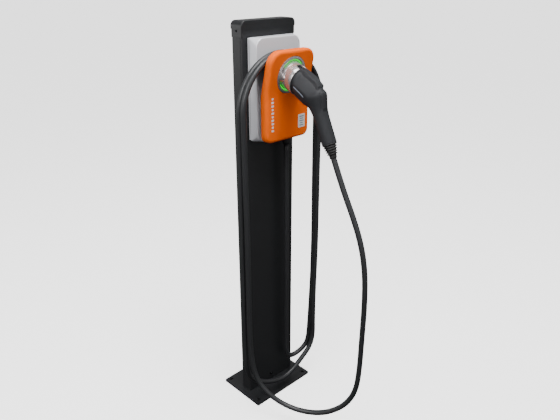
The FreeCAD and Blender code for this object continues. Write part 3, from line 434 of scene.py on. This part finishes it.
class CHARGEPOST_OT_camera(bpy.types.Operator):
    """Place the camera"""
    bl_idname = "charging_post.camera"
    bl_label = "Camera"

    def execute(self, context):
        data = bpy.data.cameras.new("camera")
        data.lens = LENS
        data.sensor_width = SENSOR_WIDTH
        data.clip_end = 100
        camera = bpy.data.objects.new("camera", data)
        camera.location = CAMERA_PLACE
        camera.rotation_euler = (math.radians(CAMERA_PITCH), 0, math.radians(CAMERA_TURN))
        context.scene.collection.objects.link(camera)
        context.scene.camera = camera
        return {"FINISHED"}


# -------------------------------------------------------------------- cable

class CHARGEPOST_OT_cable(bpy.types.Operator):
    """Lay the charging cable from its gland to the plug"""
    bl_idname = "charging_post.cable"
    bl_label = "Charging cable"

    def execute(self, context):
        own = settings(context, "cable")
        curve = bpy.data.curves.new("cable line", "CURVE")
        curve.dimensions = "3D"
        curve.resolution_u = 8
        spline = curve.splines.new("NURBS")
        spline.points.add(len(CABLE_ROUTE) - 1)
        for point, place in zip(spline.points, CABLE_ROUTE):
            point.co = (*(c * MM for c in place), 1)
        spline.order_u = 3
        spline.use_endpoint_u = True
        bare = bpy.data.objects.new("cable line", curve)
        context.scene.collection.objects.link(bare)
        context.view_layer.update()
        line = bpy.data.meshes.new_from_object(bare)
        points = [v.co.copy() for v in line.vertices]
        bpy.data.objects.remove(bare)
        vertices, faces = skin(tube_rings(points, own.diameter / 2, own.sides))
        # the cable is taken off its body and left without a parent
        piece = new_piece("charging_cable", vertices, faces, "cable_tpu", "post", "cable_black")
        piece.parent = None       # a blended piece rides on two bodies
        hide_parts("hung_cable", "free_cable")
        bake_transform(piece)
        return {"FINISHED"}


# ------------------------------------------------------------------- column

# Dark strips in the column's side seams, which paint the shade of the seam gaps, mm: their places
# across and along, their bulge, half their width and the heights of their rings.
SEAM_SHADE_X, SEAM_SHADE_Y, SEAM_SHADE_BULGE, SEAM_SHADE_HALF = 99.7, -15.4, 0.5, 1.4
SEAM_SHADE_HEIGHTS = (9, 10, 400, 800, 1211, 1212)
SEAM_SHADE_CUTS = 8


class CHARGEPOST_OT_seams(bpy.types.Operator):
    """Build the dark strips that paint the shade in the seams along the column's sides"""
    bl_idname = "charging_post.seams"
    bl_label = "Column seams"

    def execute(self, context):
        turns = [math.radians(180 / SEAM_SHADE_CUTS * k) for k in range(SEAM_SHADE_CUTS + 1)]
        seam_shades = [skin([[Vector((side * (SEAM_SHADE_X + SEAM_SHADE_BULGE * math.sin(turn)),
                                SEAM_SHADE_Y + SEAM_SHADE_HALF * math.cos(turn), z)) * MM for turn in turns]
                       for z in SEAM_SHADE_HEIGHTS]) for side in (-1, 1)]
        # Painted shade: these dark strips stand in for the shade inside the column's side seams.
        new_piece("seam_painted_shade", *joined(seam_shades), "epdm", "post", "rubber_black")
        return {"FINISHED"}


# ------------------------------------------------------------------ housing

# The housing, mm: half its width, its bottom and top, where its corners start to soften, and its
# front, both as distances in front of the middle plane.
HOUSING_HALF, HOUSING_LOW, HOUSING_HIGH = 85, 923, 1215
SOFTENS_FROM, HOUSING_FRONT = 32, 63.5
# Rings of the pan and of the shell's rear lip: distance, inset, and 0 at the back to 1 in front.
PAN_RINGS = [(27, 5, 0), (24, 5, 0), (24, 2.8, 0), (24.8, 2, 0), (31.4, 2, 0.04), (32, 2.6, 0.05),
             (32, 5, 0.05), (27, 5, 0)]
LIP_RINGS = [(33, 3, 0.05), (32.8, 2.8, 0.05), (32.8, 0.6, 0.05), (33.4, 0, 0.06)]


class CHARGEPOST_OT_housing(bpy.types.Operator):
    """Build the charger housing, whose corners soften from back to front"""
    bl_idname = "charging_post.housing"
    bl_label = "Charger housing"

    def execute(self, context):
        own = settings(context, "housing")

        def ring(y, inset, front):
            """The outline at distance y, with corners between the back's and the front's."""
            radius = own.back_round + (own.front_round - own.back_round) * front
            return [Vector((x, -y, z)) * MM for x, z in rounded_outline(
                HOUSING_HALF, HOUSING_LOW, HOUSING_HIGH, radius, radius, inset)]

        pan = [ring(*place) for place in PAN_RINGS]
        piece = new_piece("housing_pan", *skin(pan, False, False), "silver_abs", "post",
                          "plastic_silver")
        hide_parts("housing_back")
        edge = own.edge
        shell = [ring(*place) for place in LIP_RINGS]
        shell += [ring(y, 0, ((y - SOFTENS_FROM) / (HOUSING_FRONT - edge - SOFTENS_FROM)) ** 1.2)
                  for y in (38, 44, 50, 56, 60.5)]
        for degrees in range(15, 91, 15):
            turn = math.radians(degrees)
            shell.append(ring(HOUSING_FRONT - edge + edge * math.sin(turn),
                              edge * (1 - math.cos(turn)), 1))
        shell += [ring(HOUSING_FRONT, edge + 6, 1), ring(HOUSING_FRONT, 40, 1)]
        piece = new_piece("housing_shell", *skin(shell, False, True), "silver_abs", "post",
                          "plastic_silver")
        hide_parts("housing_front")
        return {"FINISHED"}


# -------------------------------------------------------------------- cover

COVER_HALF, COVER_LOW, COVER_HIGH = 85, 926, 1185
# The cover is upright up to its knee and leans forward above it.
KNEE, KNEE_WIDTH = 1064, 20
FACE_BELOW, FACE_SLOPE = 103.5, 27 / 121
BACK_BELOW, BACK_SLOPE = 78.5, 29.5 / 121
# Radii of the hole for the dock: where the face ends and where the wall of the hole starts.
HOLE_RIM, HOLE = 55.2, 54.6
# Steps from the cover's edge to the hole, as shares of the way.
FACE_STEPS = (0.15, 0.32, 0.5, 0.68, 0.84, 0.95, 1.0)
# Plain marks: place of the lowest bar, spacing, the bars' widths and their height.
TALLY_X, TALLY_Z, TALLY_PITCH, TALLY_HEIGHT = -63, 963, 10.1, 5.6
TALLY_WIDTHS = (9, 7, 9, 9, 7, 9, 7, 9, 9, 7)
LABEL_X, LABEL_Z = 53, 974.5
# Grey bars on the label: distance above its middle, width and height.
LABEL_BARS = ((13, 18, 3), (6.5, 14, 3), (0, 18, 3), (-6.5, 11, 3), (-13, 16, 3))
MARK_PROUD, MARK_SUNK = 0.35, 0.2


def face_at(z):
    """Distance of the cover's face from the middle plane at a height, mm."""
    return FACE_BELOW + FACE_SLOPE * ramp(z - KNEE, KNEE_WIDTH)


def back_at(z):
    """Distance of the cover's rear edge from the middle plane at a height, mm."""
    return BACK_BELOW + BACK_SLOPE * ramp(z - KNEE, KNEE_WIDTH)


def on_face(x, rise):
    """Where a line parallel to the dock's axis meets the cover's face, found in small steps."""
    out = -18.0
    for _ in range(12):
        point = dock(out, rise, x) / MM
        out += (face_at(point.z) + point.y) / math.cos(DOCK_TILT) * 0.9
    return out


class CHARGEPOST_OT_cover(bpy.types.Operator):
    """Build the front cover and the plain marks on it"""
    bl_idname = "charging_post.cover"
    bl_label = "Front cover"

    def execute(self, context):
        own = settings(context, "cover")

        def outline(inset):
            return rounded_outline(COVER_HALF, COVER_LOW, COVER_HIGH, own.low_round, own.top_round,
                                   inset, steps=12, runs=18)

        rings = [[Vector((x, -back_at(z) - ahead, z)) * MM for x, z in outline(inset)]
                 for ahead, inset in ((6, 3), (0, 3), (0, 0.8), (0.8, 0))]
        for degrees in range(0, 91, 10):
            turn = math.radians(degrees)
            sunk = own.edge * (1 - math.sin(turn))
            inset = own.edge * (1 - math.cos(turn))
            rings.append([Vector((x, -face_at(z) + sunk, z)) * MM for x, z in outline(inset)])
        edge = [v / MM for v in rings[-1]]
        centre = dock(on_face(0, 0), 0) / MM
        angles = [math.atan2(v.z - centre.z, v.x - centre.x) for v in edge]

        def hole_ring(met, radius, sunk):
            """A ring in the hole, sunk below where the circle of radius met meets the face."""
            return [dock(on_face(met * math.cos(a), met * math.sin(a)) - sunk,
                         radius * math.sin(a), radius * math.cos(a)) for a in angles]

        hole = [v / MM for v in hole_ring(HOLE_RIM, HOLE_RIM, 0)]
        for k in FACE_STEPS:
            ring = []
            for rim, end in zip(edge, hole):
                x, z = rim.x + (end.x - rim.x) * k, rim.z + (end.z - rim.z) * k
                ring.append(Vector((x, -face_at(z), z)) * MM)
            rings.append(ring)
        rings += [hole_ring(HOLE, radius, sunk)
                  for radius, sunk in ((HOLE, 0.25), (54.3, 0.9), (54.3, 14))]
        piece = new_piece("cover_shell", *skin(rings, False, False), "orange_abs", "post",
                          "plastic_orange")
        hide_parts("front_cover")

        bars = [self.mark(TALLY_X, TALLY_Z + TALLY_PITCH * i, width, TALLY_HEIGHT)
                for i, width in enumerate(TALLY_WIDTHS)]
        piece = new_piece("plain_tally", *joined(bars), "print_film", "post", "print_white", False)
        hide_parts("tally_marks")
        plate = self.mark(LABEL_X, LABEL_Z, 28, 40, 1.5)
        piece = new_piece("plain_label", *plate, "print_film", "post", "print_white", False)
        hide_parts("label_plate")
        bars = [self.mark(LABEL_X, LABEL_Z + above, width, height, 0.6, MARK_PROUD)
                for above, width, height in LABEL_BARS]
        new_piece("plain_label_lines", *joined(bars), "print_grey", "post", "print_white", False)
        return {"FINISHED"}

    def mark(self, x, z, width, height, corner=1.2, lift=0.0):
        """A thin plate with rounded corners that follows the face."""
        front, back = [], []
        for px, pz in rounded_outline(width / 2, z - height / 2, z + height / 2, corner, corner,
                                      steps=4, runs=5):
            front.append(Vector((x + px, -face_at(pz) - MARK_PROUD - lift, pz)) * MM)
            back.append(Vector((x + px, -face_at(pz) + MARK_SUNK, pz)) * MM)
        return skin([back, front], False, True)


# ------------------------------------------------------------------- holster

RING_OUT, SLEEVE = 54.0, 39.5
ROUND_SIDES = 180
HIDDEN = -36          # where the ring's inner and outer walls end, behind the cover's face
# The ring from its outer wall inwards: radius, and depth below its front plane.
RING_PROFILE = [(54, 2), (53.8, 0.8), (53.2, 0.15), (52, 0), (50, -0.5), (48, -0.9), (46.6, -1.0),
                (46, -0.7), (45.7, 0.2), (45.6, 3.2), (44, 3.4), (42.5, 3.4), (41, 3.2),
                (40.6, 2.4), (40.2, 1.5), (39.6, 1.2)]
# The sleeve from its outer wall over its rim to its inner wall: radius, distance out, and
# whether it follows the lean of the rim.
SLEEVE_PROFILE = [(36, -42, 0), (39.5, -42, 0), (39.5, -24, 0), (39.4, -6, 0), (39.4, 6, 1),
                  (39.5, 16.4, 1), (39.2, 17.4, 1), (38.4, 17.95, 1), (37.2, 17.95, 1),
                  (36.3, 17.4, 1), (36, 16.2, 1), (36, -42, 0)]
SLEEVE_LEAN = math.tan(math.radians(8))
NOTCH_HALF = 9        # the sleeve's notch for the plug's ridge
LIGHT_SPANS = ((33, 147), (213, 327))
LIGHT_RADIUS, LIGHT_STEPS = 43.1, 56


def lip_at(rise):
    """The ring's front plane, measured along the dock's axis."""
    return -18.5 - 0.155 * rise


def saddle_at(radius, angle):
    """How far the saddle between two lights has risen, 0 to 1, on either side."""
    angle = 180 - angle if angle < 90 else 540 - angle if angle > 270 else angle
    inward = (RING_OUT - radius) / (RING_OUT - SLEEVE)
    crest = 151 + 27 * inward
    if angle < crest:
        rise = smooth_step((angle - crest + 5) / 5)
    else:
        rise = smooth_step((211 - angle) / (211 - crest))
    return rise * max(0.0, inward) ** 1.25


class CHARGEPOST_OT_holster(bpy.types.Operator):
    """Build the holster's ring, its lights and its sleeve"""
    bl_idname = "charging_post.holster"
    bl_label = "Holster"

    def execute(self, context):
        own = settings(context, "holster")

        def wall(radius):
            """A flat ring hidden behind the cover's face."""
            return turned_rings([(radius, HIDDEN)], ROUND_SIDES, in_dock)[0]

        def lip(radius, sunk):
            """A ring below the front plane, which the saddles lift."""
            points = []
            for j in range(ROUND_SIDES):
                angle = 360 * j / ROUND_SIDES
                x = radius * math.cos(math.radians(angle))
                rise = radius * math.sin(math.radians(angle))
                up = saddle_at(radius, angle)
                out = lip_at(rise) - sunk * (1 - min(1, 3 * up)) + up * own.saddle
                points.append(dock(out, rise, x))
            return points

        rings = [wall(53.9), *(lip(*place) for place in RING_PROFILE), wall(38.6)]
        piece = new_piece("holster_ring", *skin(rings, False, False), "holster_pc", "post",
                          "bezel_silver")
        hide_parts("holster_bezel", "holster_web")

        strips = [skin([self.light_section(start + (end - start) * i / LIGHT_STEPS,
                                           i / LIGHT_STEPS, own.light_width)
                        for i in range(LIGHT_STEPS + 1)]) for start, end in LIGHT_SPANS]
        piece = new_piece("lit_strips", *joined(strips), "lit_pmma", "post", "led_green")
        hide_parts("light_ring")

        def cup(radius, out, leans):
            """A ring of the sleeve, cut back where the notch is."""
            points = []
            for j in range(ROUND_SIDES):
                angle = 2 * math.pi * j / ROUND_SIDES
                x, rise = radius * math.cos(angle), radius * math.sin(angle)
                notch = (1 - smooth_step((abs(x) - NOTCH_HALF) / 2.5)) * (rise > 0)
                here = out - leans * SLEEVE_LEAN * rise
                points.append(dock(here - max(0.0, here + 4) * notch, rise, x))
            return points

        rings = [cup(*place) for place in SLEEVE_PROFILE]
        piece = new_piece("holster_cup", *skin(rings, False, False), "holster_pc", "post",
                          "bezel_silver")
        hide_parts("holster_sleeve")
        return {"FINISHED"}

    def light_section(self, degrees, part, width):
        """The half round section of a lit strip, which tapers towards both ends."""
        angle = math.radians(degrees)
        taper = min(1.0, 7 * min(part, 1 - part)) ** 0.5
        half = width / 2 * max(0.12, taper)
        section = []
        for k in range(9):
            across = math.radians(22.5 * k)
            radius = LIGHT_RADIUS - half * math.cos(across)
            rise = radius * math.sin(angle)
            section.append(dock(lip_at(rise) - 2.6 + 2.5 * math.sin(across) * taper, rise,
                                radius * math.cos(angle)))
        return section


# ---------------------------------------------------------------------- plug

# Distance out, rise, turn down, reach up, reach down, half width, squareness.
PLUG_STATIONS = [
    (-8, 0, 0, 32.6, 32.6, 32.6, 2.0), (-7.4, 0, 0, 33.6, 33.6, 33.6, 2.0),
    (-6, 0, 0, 34, 34, 34, 2.0), (2, 0, 0, 34, 34, 34, 2.0), (9, 0, 0, 34, 34, 34, 2.0),
    (16, 0, 0, 34, 34, 34, 2.0), (24, 0, 0, 34.1, 34.2, 34.1, 2.05),
    (27, 0, 0, 34.3, 36, 34.4, 2.15), (31, 0, 0, 34.6, 37.8, 34.6, 2.3),
    (36, -0.1, 0.5, 34.8, 38.6, 34.7, 2.4), (45, -0.5, 2, 35, 39.3, 34.6, 2.45),
    (57, -1.7, 5, 35.2, 39.6, 33.8, 2.5), (68, -4, 10, 35.6, 39.2, 32.4, 2.5),
    (78, -8, 17, 36.2, 37.6, 30.6, 2.45), (86.5, -12.5, 24, 36.4, 34, 28.6, 2.4),
    (93.5, -17.3, 30, 35, 30, 26.6, 2.35), (100, -22.5, 35, 30.5, 26.4, 24.8, 2.3),
    (107.5, -29.3, 39, 25.5, 23.6, 23.2, 2.3), (116, -37.2, 42, 21.6, 21.6, 22, 2.3),
    (128, -48.5, 43, 20, 20.3, 21, 2.3), (142, -61.8, 43, 20.2, 19.8, 20.6, 2.3),
    (157, -76, 43, 20.4, 19.8, 20.4, 2.3), (175, -92.8, 43, 20.6, 20, 20.4, 2.25),
    (181.6, -98.9, 43, 20.4, 19.8, 20.2, 2.2), (183.4, -100.6, 43, 19, 18.6, 19, 2.1)]
PLUG_SIDES, PLUG_CUTS = 168, 5        # points round each station, and cuts between two
RIDGE_TOP = 39.4
BOOT_START = (181, -98.4)             # distance out and rise of the boot's start
HANDLE_TURN = 43                      # how far the handle turns down, degrees
BOOT_SIDES = 48


def between(value, low, high, soft):
    """One inside a range and zero outside it, with soft ends."""
    return smooth_step((value - low) / soft) * (1 - smooth_step((value - high + soft) / soft))


def relief_at(out, x, y, ridge_half):
    """Height of the ridge and of the thumb rest with its grooves on the plug's top, mm."""
    side = abs(x)
    ridge = between(out, 13.6, 82, 2) * (1 - smooth_step((side - ridge_half) / 1.6))
    lift = max(0.0, RIDGE_TOP - y) * ridge if y > 20 else 0.0
    rest = 2.4 * (1 - smooth_step((side - 8.5) / 1.4)) - 1.4 * between(side, 9.5, 13.5, 1.2)
    return lift + between(out, 87, 118, 4) * rest


class CHARGEPOST_OT_plug(bpy.types.Operator):
    """Build the plug's body and the ribbed boot on its handle"""
    bl_idname = "charging_post.plug"
    bl_label = "Plug"

    def execute(self, context):
        own = settings(context, "plug")
        rings = []
        for out, rise, turn, up, down, wide, square in self.stations():
            lean = math.radians(turn)
            # Above its middle the body is flatter along the ridge.
            upper = 2 / (square - (square - 1.3) * between(out, 18, 92, 14))
            lower = 2 / square
            ring = []
            for j in range(PLUG_SIDES):
                angle = 2 * math.pi * (j + 0.5) / PLUG_SIDES
                c, s = math.cos(angle), math.sin(angle)
                if s > 0:
                    x, y = wide * math.copysign(abs(c) ** upper, c), up * s ** upper
                    y += relief_at(out, x, y, own.ridge)
                else:
                    x, y = wide * math.copysign(abs(c) ** lower, c), -down * abs(s) ** lower
                    y += 0.5 * max(0.0, 1 - abs(x) / 1.4)     # the seam of the two halves
                ring.append(dock(out + math.sin(lean) * y, rise + math.cos(lean) * y, x))
            rings.append(ring)
        piece = new_piece("plug_body", *skin(rings), "plug_pa6", "plug", "plug_black")
        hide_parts("plug_shell_left", "plug_shell_right")

        # Painted highlight: a light grey strip along each side of the plug stands in for the
        # highlight on its side crease.
        highlight_strips = []
        for side in (-1, 1):
            strip = []
            for i in range(17):
                out, width = 28 + 2.75 * i, 1.6 if 0 < i < 16 else 1.0
                strip.append([self.flank(out, -5 - 0.09 * (out - 28) + y, side, lift)
                              for y, lift in ((-width, -0.3), (-width, 0.3),
                                              (width, 0.3), (width, -0.3))])
            highlight_strips.append(skin(strip))
        new_piece("plug_side_painted_highlight", *joined(highlight_strips), "print_grey", "plug", "print_white", False)

        lean = math.radians(HANDLE_TURN)

        def on_handle(x, y, height):
            return dock(BOOT_START[0] + math.cos(lean) * height + math.sin(lean) * y,
                        BOOT_START[1] - math.sin(lean) * height + math.cos(lean) * y, x)

        profile = [(12, -6), (17, -5), (17, 0.5)]
        pitch = 33 / own.ribs
        for i in range(own.ribs):
            crest, at = 20.6 - 6 * i / (own.ribs - 1), 1.8 + pitch * i
            profile += [(crest - 0.6, at), (crest, at + 0.8), (crest, at + pitch * 0.42),
                        (crest - 0.6, at + pitch * 0.52), (crest - 3.6, at + pitch * 0.6),
                        (crest - 3.8, at + pitch * 0.95)]
        profile += [(10.6, 37), (10.2, 41), (9.6, 42.6), (8.4, 43)]
        boot = skin(turned_rings(profile, BOOT_SIDES, on_handle))
        piece = new_piece("ribbed_boot", *boot, "epdm", "plug", "rubber_black")
        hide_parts("plug_boot")
        return {"FINISHED"}

    def flank(self, out, y, side, lift):
        """A point on the body's lower side, raised by lift."""
        after = next(i for i, station in enumerate(PLUG_STATIONS) if station[0] > out)
        a, b = PLUG_STATIONS[after - 1], PLUG_STATIONS[after]
        part = (out - a[0]) / (b[0] - a[0])
        _, rise, turn, _, down, wide, square = (p + (q - p) * part for p, q in zip(a, b))
        x = wide * (1 - (abs(y) / down) ** square) ** (1 / square) + lift
        lean = math.radians(turn)
        return dock(out + math.sin(lean) * y, rise + math.cos(lean) * y, side * x)

    def stations(self):
        """The stations with smooth ones added between them."""
        whole = []
        count = len(PLUG_STATIONS)
        for i in range(count - 1):
            a, b, c, d = (PLUG_STATIONS[min(max(k, 0), count - 1)] for k in range(i - 1, i + 3))
            for j in range(PLUG_CUTS):
                t = j / PLUG_CUTS
                whole.append(tuple(
                    0.5 * (2 * q + (r - p) * t + (2 * p - 5 * q + 4 * r - s) * t * t
                           + (3 * q - p - 3 * r + s) * t ** 3)
                    for p, q, r, s in zip(a, b, c, d)))
        whole.append(PLUG_STATIONS[-1])
        return whole


# ----------------------------------------------------------------- finishes

class CHARGEPOST_OT_finishes(bpy.types.Operator):
    """Give the frame's own pieces their finishes"""
    bl_idname = "charging_post.finishes"
    bl_label = "Finishes"

    def execute(self, context):
        for finish_name, nodes in NODE_FINISH.items():
            for node in nodes:
                mesh = bpy.data.objects[node].data
                mesh.materials.clear()
                mesh.materials.append(finish(finish_name))
        return {"FINISHED"}


# -------------------------------------------------------------------- stage

FLOOR_HALF = 40                   # the floor's half width, m
DARK_HALF = (0.122, 0.087)        # the floor under the base plate, painted dark as the shade where no light reaches, m


def plain_material(name, colour, roughness=0.5):
    """A material of one colour for the stage, and its shader."""
    material = bpy.data.materials.new(name)
    material.use_nodes = True
    shader = material.node_tree.nodes["Principled BSDF"]
    shader.inputs["Base Color"].default_value = (*colour, 1)
    shader.inputs["Roughness"].default_value = roughness
    return material, shader


class CHARGEPOST_OT_stage(bpy.types.Operator):
    """Set up the floor, the lights and the surroundings"""
    bl_idname = "charging_post.stage"
    bl_label = "Stage"

    def execute(self, context):
        own = settings(context, "stage")
        mesh = bpy.data.meshes.new("floor")
        corners = [(x * wide, y * deep, 0) for wide, deep in ((FLOOR_HALF, FLOOR_HALF), DARK_HALF)
                   for x, y in ((-1, -1), (1, -1), (1, 1), (-1, 1))]
        mesh.from_pydata(corners, [], [(0, 1, 5, 4), (1, 2, 6, 5), (2, 3, 7, 6), (3, 0, 4, 7),
                                       (4, 5, 6, 7)])
        floor = bpy.data.objects.new("floor", mesh)
        context.scene.collection.objects.link(floor)
        bright, shader = plain_material("studio floor painted", own.floor, 0.9)
        shader.inputs["Emission Color"].default_value = (1, 1, 1, 1)
        shader.inputs["Emission Strength"].default_value = own.floor_glow
        mesh.materials.append(bright)
        # Painted shade: the floor under the plate is a dark patch that shows through the plate's
        # holes.
        dark, _ = plain_material("studio floor painted shade under the plate", (0.05, 0.05, 0.05))
        mesh.materials.append(dark)
        mesh.polygons[4].material_index = 1
        # The glow whitens the floor for the camera and doesn't light the post from below.
        floor.visible_glossy = False
        floor.visible_diffuse = False

        for name, place, aim, wide, high, power in (
                ("key light", (-2.0, -0.5, 2.2), (0, 0, 1.15), 1.4, 1.2, own.key_power),
                ("fill light", (0.4, -3.4, 1.9), (0, 0, 0.8), 1.6, 1.6, own.fill_power),
                ("side light", (-1.9, 2.1, 1.25), (0, 0, 1.1), 1.5, 1.3, own.side_power),
                ("top light", (-0.2, -0.7, 3.1), (0, -0.1, 1.1), 1.6, 1.6, own.top_power)):
            data = bpy.data.lights.new(name, "AREA")
            data.shape = "RECTANGLE"
            data.size, data.size_y, data.energy = wide, high, power
            light = bpy.data.objects.new(name, data)
            light.location = place
            way = Vector(aim) - Vector(place)
            light.rotation_euler = way.to_track_quat("-Z", "Y").to_euler()
            context.scene.collection.objects.link(light)

        world = bpy.data.worlds.new("studio")
        world.use_nodes = True
        tree = world.node_tree
        tree.nodes.clear()
        # The room is white behind the post, and what the post reflects darkens towards the floor.
        seen = add(tree, "ShaderNodeBackground", {"Color": (1, 1, 1, 1), "Strength": 2.0})
        way = add(tree, "ShaderNodeSeparateXYZ", (),
                  {0: add(tree, "ShaderNodeTexCoord").outputs["Generated"]})
        height = add(tree, "ShaderNodeMapRange", {"From Min": -0.75, "From Max": 0.15,
                                                  "To Min": 0.03, "To Max": own.surround},
                     {"Value": way.outputs["Z"]})
        around = add(tree, "ShaderNodeBackground", {"Color": (1, 1, 1, 1)},
                     {"Strength": height.outputs["Result"]})
        rays = add(tree, "ShaderNodeLightPath")
        both = add(tree, "ShaderNodeMixShader", (),
                   {0: rays.outputs["Is Camera Ray"], 1: around.outputs[0], 2: seen.outputs[0]})
        add(tree, "ShaderNodeOutputWorld", (), {"Surface": both.outputs[0]})
        context.scene.world = world
        return {"FINISHED"}


# --------------------------------------------------------------------- panel

STEPS = [CHARGEPOST_OT_camera, CHARGEPOST_OT_seams, CHARGEPOST_OT_housing, CHARGEPOST_OT_cover,
         CHARGEPOST_OT_holster, CHARGEPOST_OT_plug, CHARGEPOST_OT_cable, CHARGEPOST_OT_finishes,
         CHARGEPOST_OT_stage]


class CHARGEPOST_PT_panel(bpy.types.Panel):
    """Settings and steps of the charging post"""
    bl_label = "Charging post"
    bl_idname = "CHARGEPOST_PT_panel"
    bl_space_type = "VIEW_3D"
    bl_region_type = "UI"
    bl_category = "Charging post"

    def draw(self, context):
        for group, kind in GROUPS.items():
            box = self.layout.box()
            box.label(text=kind.__doc__)
            for name in kind.__annotations__:
                box.prop(settings(context, group), name)
        for step in STEPS:
            self.layout.operator(step.bl_idname)


CLASSES = [*GROUPS.values(), *STEPS, CHARGEPOST_PT_panel]


def register():
    for kind in CLASSES:
        bpy.utils.register_class(kind)
    for group, kind in GROUPS.items():
        setattr(bpy.types.Scene, "charging_post_" + group, PointerProperty(type=kind))


def unregister():
    for group in GROUPS:
        delattr(bpy.types.Scene, "charging_post_" + group)
    for kind in reversed(CLASSES):
        bpy.utils.unregister_class(kind)


def main():
    register()
    for step in STEPS:
        group, name = step.bl_idname.split(".")
        getattr(getattr(bpy.ops, group), name)()


if __name__ == "__main__":
    main()
